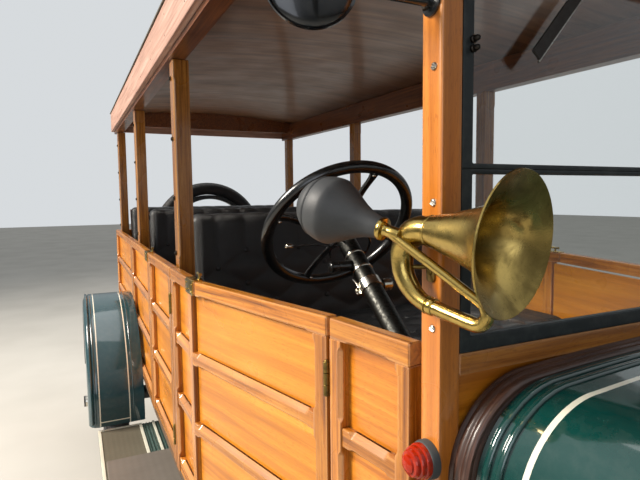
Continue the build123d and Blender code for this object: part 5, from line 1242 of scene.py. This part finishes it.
# Mirror: pressed shell with a rolled rim, glass towards the driver
mirror_way = unit([0.25, 0.96, -0.05])
mirror_mid = place(-MIRROR_X, 0.087, 1.654)
t = np.linspace(0, np.pi / 2, 10)
shell = [(0.0590 * np.sin(a), 0.0030 - 0.009 * np.cos(a)) for a in t[:-1]]
shell += [(0.0625, -0.002), (0.0625, 0.0035), (0.0600, 0.0055), (0.0575, 0.0050), (0.0575, 0.0030)]
make("mirror_shell", turned(shell, mirror_mid, mirror_way, 64), frame_black, replaces="mirror")
make("mirror_glass", turned([(0.0573, 0.003), (0.0573, 0.0042), (0, 0.0046)], mirror_mid, mirror_way, 64),
     mirror_face)
knee = place(-MIRROR_X, PILLAR_MID, MIRROR_Z)
ball = turned([(0.004, -0.009), (0.008, -0.005), (0.0092, 0), (0.008, 0.005), (0.004, 0.009)],
              mirror_mid - mirror_way * 0.008, mirror_way, 20)
arms = [tube([place(-0.4634, PILLAR_MID, MIRROR_Z), place(-0.50, PILLAR_MID, MIRROR_Z),
              place(-0.55, PILLAR_MID, MIRROR_Z), knee + RIGHT * 0.006], 0.006, 16),
        tube([knee + RIGHT * 0.006, knee + BACK * 0.004 + UP * 0.002, knee * 0.8 + mirror_mid * 0.2,
              mirror_mid - mirror_way * 0.008], 0.006, 16), ball]
arms.append(turned([(0.016, -0.0005), (0.016, 0.003), (0.012, 0.0045), (0.007, 0.005)],
                   place(-PILLAR_X, PILLAR_MID, MIRROR_Z), -RIGHT, 24))
make("mirror_arm", arms, frame_black)

# Fenders: rolled beads beside the lining, along the arc of each fender
FENDER_R = 0.435
FENDER_Z = 0.480
AXLES = {"front": at(-0.930), "rear": at(2.200)}


def fender_arc(y_axle, x, first, last, lift=0.0, count=60):
    """Points on a fender's crown: a circle of radius FENDER_R about a point above the axle, by the angle
    from its top."""
    a = np.radians(np.linspace(first, last, count))
    reach = FENDER_R + lift
    return np.stack([np.full(count, x), y_axle + reach * np.sin(a), FENDER_Z + reach * np.cos(a)], -1)


beads = []
for y_axle, first, last in ((AXLES["front"], -82, 92), (AXLES["rear"], -96, 84)):
    for x, radius in ((-0.8165, 0.0045), (-0.8305, 0.0055), (-0.6640, 0.0040)):
        beads.append(tube(fender_arc(y_axle, x, first, last, -0.0030), radius, 10, up=RIGHT))
make("fender_beads", both(beads), fender_enamel)

# Running boards: linoleum with pale metal trims, a thicker step mat at the doors, and ribs along the apron
BOARD_Z = 0.400
STEP_REAR = 1.467
BOARD_END = 1.772


def strip(x0, x1, s0, s1, z0, z1, arris=0.0012):
    """Flat bar lying along the bus between two stations."""
    return board(place(x1, s0, z0), BACK, -RIGHT, s1 - s0, x1 - x0, z1 - z0, arris=arris)


mats, trims, steps, ribs = [], [], [], []
mats.append(strip(-0.803, -0.646, 0.020, BOARD_END - 0.010, BOARD_Z + 0.0003, BOARD_Z + 0.0035))
for x0, x1 in ((-0.8118, -0.800), (-0.648, -0.636)):
    trims.append(strip(x0, x1, 0.008, BOARD_END, BOARD_Z + 0.0003, BOARD_Z + 0.0065))
for s0, s1 in ((0.008, 0.020), (BOARD_END - 0.012, BOARD_END)):
    trims.append(strip(-0.8005, -0.6475, s0, s1, BOARD_Z + 0.0003, BOARD_Z + 0.0062))
trims.append(strip(-0.594, -0.584, 0.008, BOARD_END, BOARD_Z + 0.0003, BOARD_Z + 0.0070))
steps.append(strip(-0.794, -0.564, 0.360, STEP_REAR, BOARD_Z + 0.0035, BOARD_Z + 0.0125, arris=0.002))
for x in (-0.628, -0.616, -0.604, -0.572):
    ribs.append(tube([place(x, s, BOARD_Z) for s in (0.008, 0.9, BOARD_END)], 0.0032, 10))
make("board_mats", both(mats), mat_rubber)
make("board_trims", both(trims), cream_enamel)
make("step_mats", both(steps), step_plate)
make("board_ribs", both(ribs), apron_enamel)

# Wheels: black felloe, rim and hub, varnished spokes, hub cap, flange bolts and grooved tread
HUB_Z = 0.3875
WHEEL_X = 0.725


def wheel_finish(name, y_axle):
    """One finish for hub, spokes and felloe: bare varnished wood between two radii about the hub, black
    enamel elsewhere. The radius is the root of the squares of y and z off the hub, as a share of 0.32 m."""
    made, tree = material(name)
    where = spots(tree, "XYZ")
    split = tree.nodes.new("ShaderNodeSeparateXYZ")
    tree.links.new(where, split.inputs[0])
    off_y = node(tree, "Math", {0: split.outputs[1], 1: y_axle}, operation="SUBTRACT")
    off_z = node(tree, "Math", {0: split.outputs[2], 1: HUB_Z}, operation="SUBTRACT")
    off = node(tree, "CombineXYZ", {1: off_y, 2: off_z})
    reach = node(tree, "VectorMath", {0: off}, out=1, operation="LENGTH")
    share = node(tree, "MapRange", {0: reach, 2: 0.32})
    woody = node(tree, "ValToRGB", {0: share}, stops=((0.24, 0.0), (0.245, 1.0), (0.785, 1.0), (0.79, 0.0)))
    grain = noise(tree, where, (90, 26, 26), 3, 0.55, 0.6)
    oak = node(tree, "ValToRGB", {0: grain}, stops=((0.3, "#6a3d12"), (0.5, "#9c6424"), (0.7, "#bd8338")))
    spots_of_dirt = noise(tree, where, (40, 40, 40), 4, 0.6)
    grime = node(tree, "ValToRGB", {0: spots_of_dirt}, stops=((0.45, 0.0), (0.8, 0.3)))
    colour = node(tree, "Mix", {0: woody, 6: "#101213", 7: oak}, **COLOUR)
    colour = node(tree, "Mix", {0: grime, 6: colour, 7: "#4a4137"}, **COLOUR)
    rough = node(tree, "ValToRGB", {0: grain}, stops=((0.3, 0.22), (0.7, 0.34)))
    finish_of(name, colour, rough, coat=0.5, height=grain, relief=0.0002, tree=tree)
    return made


def tyre(centre, turns=384, lugs=64):
    """Closed ring about the x axis. Section: an oval 90 mm wide and 88 mm high, open inwards to two beads.
    The tread stands 5 mm above its grooves: two round the tyre, and sloping ones between the lugs, which
    are staggered from side to side."""
    phi = np.radians(np.concatenate([np.linspace(-118, -66, 9)[:-1], np.linspace(-66, 66, 45),
                                     np.linspace(66, 118, 9)[1:]]))
    x = 0.0448 * np.sin(phi) * (1 + 0.10 * np.sin(2 * phi) ** 2)
    r = 0.3435 + 0.0438 * np.cos(phi)
    x = np.concatenate([[-0.0300], x, [0.0300]])
    r = np.concatenate([[0.3035], r, [0.3035]])
    tread = np.concatenate([[0], np.clip((1.10 - np.abs(phi)) / 0.10, 0, 1), [0]])
    turn = np.linspace(0, 2 * np.pi, turns, endpoint=False)
    xx, tt = np.meshgrid(x, turn, indexing="ij")
    side = np.where(xx > 0, 0.5, 0.0)
    lug = np.abs(((tt * lugs / (2 * np.pi) + side + np.abs(xx) * 14) % 1) - 0.5) * 2
    across = np.clip((0.30 - lug) / 0.14, 0, 1) * (np.abs(xx) > 0.0085)
    round_groove = np.clip(1 - np.abs(np.abs(xx) - 0.0105) / 0.0030, 0, 1)
    deep = 0.0052 * np.maximum(across, round_groove) * tread[:, None]
    rr = r[:, None] - deep
    points = np.stack([xx, rr * np.sin(tt), rr * np.cos(tt)], -1)
    return part(points + centre, [grid_faces(len(x), turns, wrap_rows=True)])


def wheel_trim(side):
    """Cap, flange bolts and cap threads of one wheel, outwards along side."""
    face = RIGHT * side
    trims = [turned([(0.0275, 0), (0.0275, 0.004), (0.0262, 0.005), (0.0262, 0.022), (0.0235, 0.0265),
                     (0.012, 0.029), (0, 0.0295)], face * 0.1045, face, 40)]
    bolts = []
    for k in range(6):
        a = 2 * np.pi * (k + 0.25) / 6
        spot = BACK * 0.062 * math.cos(a) + UP * 0.062 * math.sin(a) + face * 0.0215
        bolts += hexagon(spot, face, 0.0075, 0.007)
    return trims, bolts


for end, y_axle in AXLES.items():
    for side_name, side in (("left", 1), ("right", -1)):
        name = end + "_" + side_name
        centre = np.array([WHEEL_X * side, y_axle, HUB_Z])
        finished("wheel_" + name, wheel_finish("varnished_spoke_wheel_" + name, y_axle))
        make("tread_" + name, tyre(centre), tyre_rubber, "wheel_" + name, replaces="tyre_" + name, smooth=30)
        trims, bolts = wheel_trim(side)
        make("hub_cap_" + name, [moved(p, centre) for p in trims], nickel, "wheel_" + name)
        make("hub_bolts_" + name, [moved(p, centre) for p in bolts], dark_steel, "wheel_" + name,
             slot="black_enamel")
spare = tyre(np.zeros(3))
turned_points = spare["points"][:, [1, 0, 2]] * [-1, 1, 1] + place(0, 3.123, 1.105)
make("tread_spare", part(turned_points, spare["faces"]), tyre_rubber, replaces="spare_tyre", smooth=30)

# Radiator: tube and fin core, winged filler cap, overflow pipe and starting-handle plate
CORE_HALF = 0.196
core_front = -0.935 + 0.0117
fin = np.array([[-CORE_HALF, 0.0], [CORE_HALF, 0.0], [CORE_HALF, 0.0006], [-CORE_HALF, 0.0006]])
core = [plate(fin + [0, z], [(0, 0), (0.009, 0)], place(0, core_front, 0), RIGHT, UP)
        for z in np.arange(0.632, 0.972, 0.0075)]
for x in np.arange(-0.190, 0.191, 0.0127):
    core.append(tube([place(x, core_front - 0.0035, z) for z in (0.630, 0.8, 0.975)], 0.0022, 8, up=RIGHT))
make("radiator_core", core, frame_black, smooth=0)
cap_foot = place(0, RADIATOR_MID, 1.062 + 0.0385)
cap = [turned([(0.0335, -0.010), (0.0352, -0.008), (0.0352, -0.001), (0.0335, 0.001), (0.020, 0.004),
               (0.008, 0.006), (0, 0.0065)], cap_foot, UP, 48)]
for k in range(6):
    a = 2 * np.pi * k / 6
    cap.append(dome(cap_foot + (RIGHT * math.cos(a) + BACK * math.sin(a)) * 0.0300 + UP * -0.008, UP, 0.0085,
                    0.012, 14))
make("filler_cap", cap, nickel)
bends = ((0.045, 1.055), (0.045, 1.064), (0.060, 1.069), (0.200, 1.050))
overflow = [place(x, RADIATOR_MID, z) for x, z in bends]
hole_plate = turned([(0.036, 0), (0.036, 0.003), (0.033, 0.0045), (0.0140, 0.0045), (0.0125, 0.001)],
                    place(0, -0.9935, 0.546), -BACK, 40)
make("overflow_and_handle_plate", [tube(overflow, 0.004, 12), hole_plate], nickel)

# Bonnet: louvres, handles and side clips on both halves
BONNET_FRONT, BONNET_REAR = -0.850, -0.330
BONNET_NARROW = 0.232


def bonnet_half(station):
    """Half the bonnet's width at a station."""
    share = (station - BONNET_REAR) / (BONNET_FRONT - BONNET_REAR)
    return BONNET_WIDE + (BONNET_NARROW - BONNET_WIDE) * share


def bonnet_side(station, z, lift=0.0):
    """Point on the right bonnet side's face, which runs straight from the scuttle to the radiator."""
    return place(-bonnet_half(station) - lift, station, z)


louvres, clips = [], []
for k in range(9):
    s = -0.400 - k * 0.040
    uu, vv = np.meshgrid(np.linspace(-1, 1, 25), np.linspace(0, 1, 9), indexing="ij")
    lift = 0.0085 * np.sqrt(np.clip(1 - np.abs(uu) ** 4, 0, 1)) * np.sin(np.pi / 2 * vv) ** 0.8
    along = s + 0.014 * vv
    outer = np.stack([-bonnet_half(along) - lift + 0.0006, at(along), 0.790 + 0.085 * uu], -1)
    inner = outer + [0.0012, 0, 0]
    rows, cols = outer.shape[:2]
    faces = grid_faces(rows, cols, wrap_cols=False)
    edge = np.concatenate([np.arange(cols), np.arange(1, rows) * cols + cols - 1,
                           (rows - 1) * cols + np.arange(cols - 2, -1, -1),
                           np.arange(rows - 2, 0, -1) * cols])
    n = rows * cols
    rim = np.stack([edge, edge + n, np.roll(edge, -1) + n, np.roll(edge, -1)], -1)
    louvres.append(part(np.stack([outer, inner]), [faces, faces[:, ::-1] + n, rim[:, ::-1]]))
for s in (-0.420, -0.760):
    spot = bonnet_side(s, 0.665, 0.001)
    clips.append(plate(rounded(0.013, 0.020, 0.005), [(0, 0), (0.0025, 0), (0.0035, 0.001)], spot, -BACK, UP))
    clips.append(tube([spot + UP * 0.012 - RIGHT * 0.003, spot - UP * 0.002 - RIGHT * 0.011,
                       spot - UP * 0.016 - RIGHT * 0.003], 0.004, 12, up=BACK))
handle_mid = bonnet_side(-0.590, 0.720, 0.0)
handle_line = ((-0.055, 0.0), (-0.052, 0.018), (-0.040, 0.024), (0.040, 0.024), (0.052, 0.018), (0.055, 0.0))
clips.append(tube([handle_mid + BACK * a - RIGHT * b for a, b in handle_line], 0.005, 14))
for side_name, pieces in (("right", lambda p: p), ("left", flipped)):
    make("bonnet_louvres_" + side_name, [pieces(p) for p in louvres], enamel_green, "bonnet_" + side_name,
         smooth=60)
    make("bonnet_fittings_" + side_name, [pieces(p) for p in clips], nickel, "bonnet_" + side_name)

# Lamps: head lamps with glass and reflector, beehive side lamps, tail lamp
LAMP_MID = place(-LAMP_X, LAMP_STATION, 0.901)
lamp_rear = LAMP_MID + BACK * 0.060
shells, rims, glasses, reflectors = [], [], [], []
shells.append(turned([(0.030, -0.0005), (0.0414, 0.002), (0.058, 0.022), (0.074, 0.048), (0.084, 0.070),
                      (0.0882, 0.085), (0.0882, 0.092), (0.0860, 0.092), (0.0855, 0.085), (0.070, 0.048),
                      (0.030, 0.008)], lamp_rear, -BACK, 72))
rims.append(turned([(0.0884, 0.086), (0.0918, 0.0865), (0.0920, 0.104), (0.0905, 0.114), (0.0865, 0.1190),
                    (0.0820, 0.1180), (0.0815, 0.112), (0.0850, 0.108), (0.0862, 0.088)], lamp_rear, -BACK,
                    72, shell=True))
GLASS_R, GLASS_ANGLE = 0.190, 0.44
crown = [(GLASS_R * math.sin(a), 0.1135 + GLASS_R * (math.cos(a) - math.cos(GLASS_ANGLE)) * 0.5)
         for a in np.linspace(0, GLASS_ANGLE, 8)[::-1]]
glass = [(0.0828, 0.1105)] + crown
glass_in = [(r, h - 0.003) for r, h in glass[::-1]]
pole = [(0.0005, glass[-1][1]), (0.0005, glass[-1][1] - 0.003)]
glasses.append(turned(glass + pole + glass_in[1:], lamp_rear, -BACK, 72, shell=True))
bowl = [(0.0845, 0.104)] + [(0.0845 * math.sqrt(k), 0.030 + 0.074 * k) for k in np.linspace(0.98, 0.02, 12)]
bowl_shell = [(0.0850, 0.1045)] + [(r, h + 0.0012) for r, h in bowl[1:]]
bowl_shell += [(r, h - 0.0005) for r, h in bowl[::-1]]
reflectors.append(turned(bowl_shell, lamp_rear, -BACK, 72, shell=True))
reflectors.append(turned([(0.006, 0.030), (0.006, 0.045), (0.010, 0.055), (0.010, 0.066), (0.005, 0.073),
                          (0, 0.074)], lamp_rear, -BACK, 24))
stem_foot = place(-LAMP_X, LAMP_STATION, 0.780)
shells.append(tube([stem_foot + UP * 0.010, stem_foot + UP * 0.020, stem_foot + UP * 0.040],
                   [0.014, 0.010, 0.010], 16, up=RIGHT))
shells.append(ring_band(stem_foot, RIGHT, 0.0095, 0.030, 0.004))
side_mid = place(-0.4633, -0.019, 1.043)
base = turned([(0.0245, 0.0), (0.0245, 0.0080), (0.0235, 0.0105), (0.0222, 0.0110), (0, 0.0110)], side_mid,
              -RIGHT, 48)
steps = [(0.0223, 0.0108), (0.0225, 0.0160), (0.0218, 0.0175), (0.0203, 0.0182), (0.0205, 0.0228),
         (0.0196, 0.0245), (0.0174, 0.0252), (0.0170, 0.0294), (0.0156, 0.0312), (0.0122, 0.0322),
         (0.0112, 0.0346), (0.0080, 0.0366), (0.0040, 0.0377), (0, 0.0379)]
side_lens = turned(steps, side_mid, -RIGHT, 24)
make("lamp_shells", both(shells), frame_black, replaces="lamps")
make("lamp_rims", both(rims), nickel)
make("lamp_glasses", both(glasses), lamp_glass)
make("lamp_reflectors", both(reflectors), mirror_face)
make("side_lamp_bases", both([base]), seal_rubber)
make("side_lamp_lenses", both([side_lens]), amber_lens, smooth=20)
tail_mid = place(0.555, 3.0603, 0.760)
make("tail_lamp_body", turned([(0.0320, 0.0), (0.0320, 0.020), (0.0300, 0.023), (0.0265, 0.0235),
                               (0, 0.0235)], tail_mid, BACK, 40), frame_black)
make("tail_lamp_lens", turned([(0.0262, 0.0230), (0.0258, 0.0262), (0.0180, 0.0288), (0.0080, 0.0298),
                               (0, 0.0299)], tail_mid, BACK, 40), red_lens)

# Engine: head with plugs and water outlet over the plain block
head = [board(place(0.115, -0.760, 0.930), BACK, -RIGHT, 0.480, 0.230, 0.045, arris=0.008)]
for k in range(4):
    spot = place(0.0, -0.700 + 0.120 * k, 0.975)
    head += hexagon(spot, UP, 0.011, 0.012)
    head.append(tube([spot, spot + UP * 0.030, spot + UP * 0.046], [0.008, 0.006, 0.004], 12, up=RIGHT))
head.append(tube([place(0, -0.745, 0.970), place(0, -0.765, 0.985), place(0, -0.800, 0.990),
                  place(0, -0.846, 0.990)], 0.024, 20))
make("engine_head", head, cast_iron)

# CAD nodes that stay as they are: one finish each
for name, finish in (
    ("hinges", old_brass), ("floor", floor_wood), ("roof_frame", roof_wood), ("roof_deck", ceiling_ply),
    ("roof_cover", roof_cloth),
    ("scuttle", scuttle_enamel), ("radiator", nickel), ("bonnet_rod", nickel), ("bonnet_left", enamel_green),
    ("bonnet_right", enamel_green), ("chassis_frame", chassis_black), ("engine", cast_iron),
    ("exhaust", exhaust_iron),
    ("rear_axle", chassis_black), ("springs", chassis_black), ("front_axle", chassis_black),
    ("knuckle_left", chassis_black), ("knuckle_right", chassis_black), ("tie_rod", chassis_black),
    ("spare_carrier", wheel_black), ("fenders", fender_enamel), ("running_boards", apron_enamel),
    ("steering_column", worn_nickel), ("seat_frames", box_wood),
):
    finished(name, finish)

# Stage: pale floor that runs on under everything, soft light, and the photo's camera
floor_finish, floor_tree = material("pale_studio_floor")
floor_cloud = noise(floor_tree, spots(floor_tree, "XYZ"), (1.4, 1.4, 1.4), 3, 0.5)
floor_patches = node(floor_tree, "ValToRGB", {0: floor_cloud}, stops=((0.35, 0.0), (0.75, 1.0)))
floor_shade = node(floor_tree, "Mix", {0: floor_patches, 6: "#bebbb4", 7: "#b4b1aa"}, **COLOUR)
finish_of(floor_finish, floor_shade, 0.9, Specular_IOR_Level=0.0, tree=floor_tree)
floor_mesh = plate(np.array([[-30, -30], [30, -30], [30, 30], [-30, 30]]), [(-0.02, 0), (0.0, 0)],
                   np.zeros(3), RIGHT, BACK)
studio_floor = make("studio_floor", floor_mesh, floor_finish, None, smooth=0)

world = bpy.data.worlds.new("studio")
bpy.context.scene.world = world
world.use_nodes = True
sky = world.node_tree
sky.nodes.clear()
path = sky.nodes.new("ShaderNodeLightPath")
high = sky.nodes.new("ShaderNodeSeparateXYZ")
sky.links.new(node(sky, "TexCoord", out=0), high.inputs[0])
mirrored = node(sky, "MapRange", {0: high.outputs[2], 1: 0.0, 2: 0.75, 3: 0.20, 4: 1.05})
spread = node(sky, "MapRange", {0: high.outputs[1], 1: -1.0, 2: 0.6, 3: 0.16, 4: 0.80})
soft = node(sky, "Mix", {0: path.outputs["Is Glossy Ray"], 2: spread, 3: mirrored})
seen = either(sky, path.outputs["Is Camera Ray"], path.outputs["Is Transmission Ray"])
strength = node(sky, "Mix", {0: seen, 2: soft, 3: 0.92})
shade = node(sky, "Background", {"Color": "#dfe3e6", "Strength": strength})
sky_out = sky.nodes.new("ShaderNodeOutputWorld")
sky.links.new(shade, sky_out.inputs["Surface"])


def area_light(name, spot, target, size, power, colour="#ffffff", spread=180):
    """Rectangular lamp at spot, turned so that its -Z looks at the target."""
    lamp = bpy.data.lights.new(name, "AREA")
    lamp.shape, lamp.size, lamp.size_y = "RECTANGLE", size[0], size[1]
    lamp.energy, lamp.color, lamp.spread = power, linear(colour)[:3], math.radians(spread)
    made = bpy.data.objects.new(name, lamp)
    made.location = spot
    made.rotation_euler = (Vector(target) - Vector(spot)).to_track_quat("-Z", "Y").to_euler()
    bpy.context.scene.collection.objects.link(made)


area_light("key", (-8.2, 2.4, 6.4), (-0.4, 0.2, 1.1), (3.0, 3.0), 600, "#fff6ea", spread=100)
area_light("overhead", (1.5, 1.0, 7.0), (0, 0, 0), (7.0, 7.0), 260)
area_light("fill", (-3.4, -5.2, 2.4), (0, 0, 1.0), (3.0, 3.0), 55, "#eef4ff")

CAMERA_SPOT = np.array([-0.8578, -1.4325, 1.3764])
CAMERA_WAY = np.array([0.42803, 0.90007, -0.08171])
CAMERA_SIDE = np.array([0.90309, -0.42946, 0.0])
CAMERA_DOWN = np.array([-0.03509, -0.07379, -0.99666])
ROLL = 0.0114
camera = bpy.data.cameras.new("photo")
camera.lens, camera.sensor_width, camera.sensor_fit = 28.916, 36.0, "HORIZONTAL"
camera.clip_start = 0.02
seer = bpy.data.objects.new("photo_camera", camera)
side = CAMERA_SIDE * math.cos(ROLL) + CAMERA_DOWN * math.sin(ROLL)
down = -CAMERA_SIDE * math.sin(ROLL) + CAMERA_DOWN * math.cos(ROLL)
rows = [[side[k], -down[k], -CAMERA_WAY[k], CAMERA_SPOT[k]] for k in range(3)]
seer.matrix_world = Matrix(rows + [[0, 0, 0, 1]])
bpy.context.scene.collection.objects.link(seer)
bpy.context.scene.camera = seer
bpy.context.scene.view_settings.view_transform = "Standard"
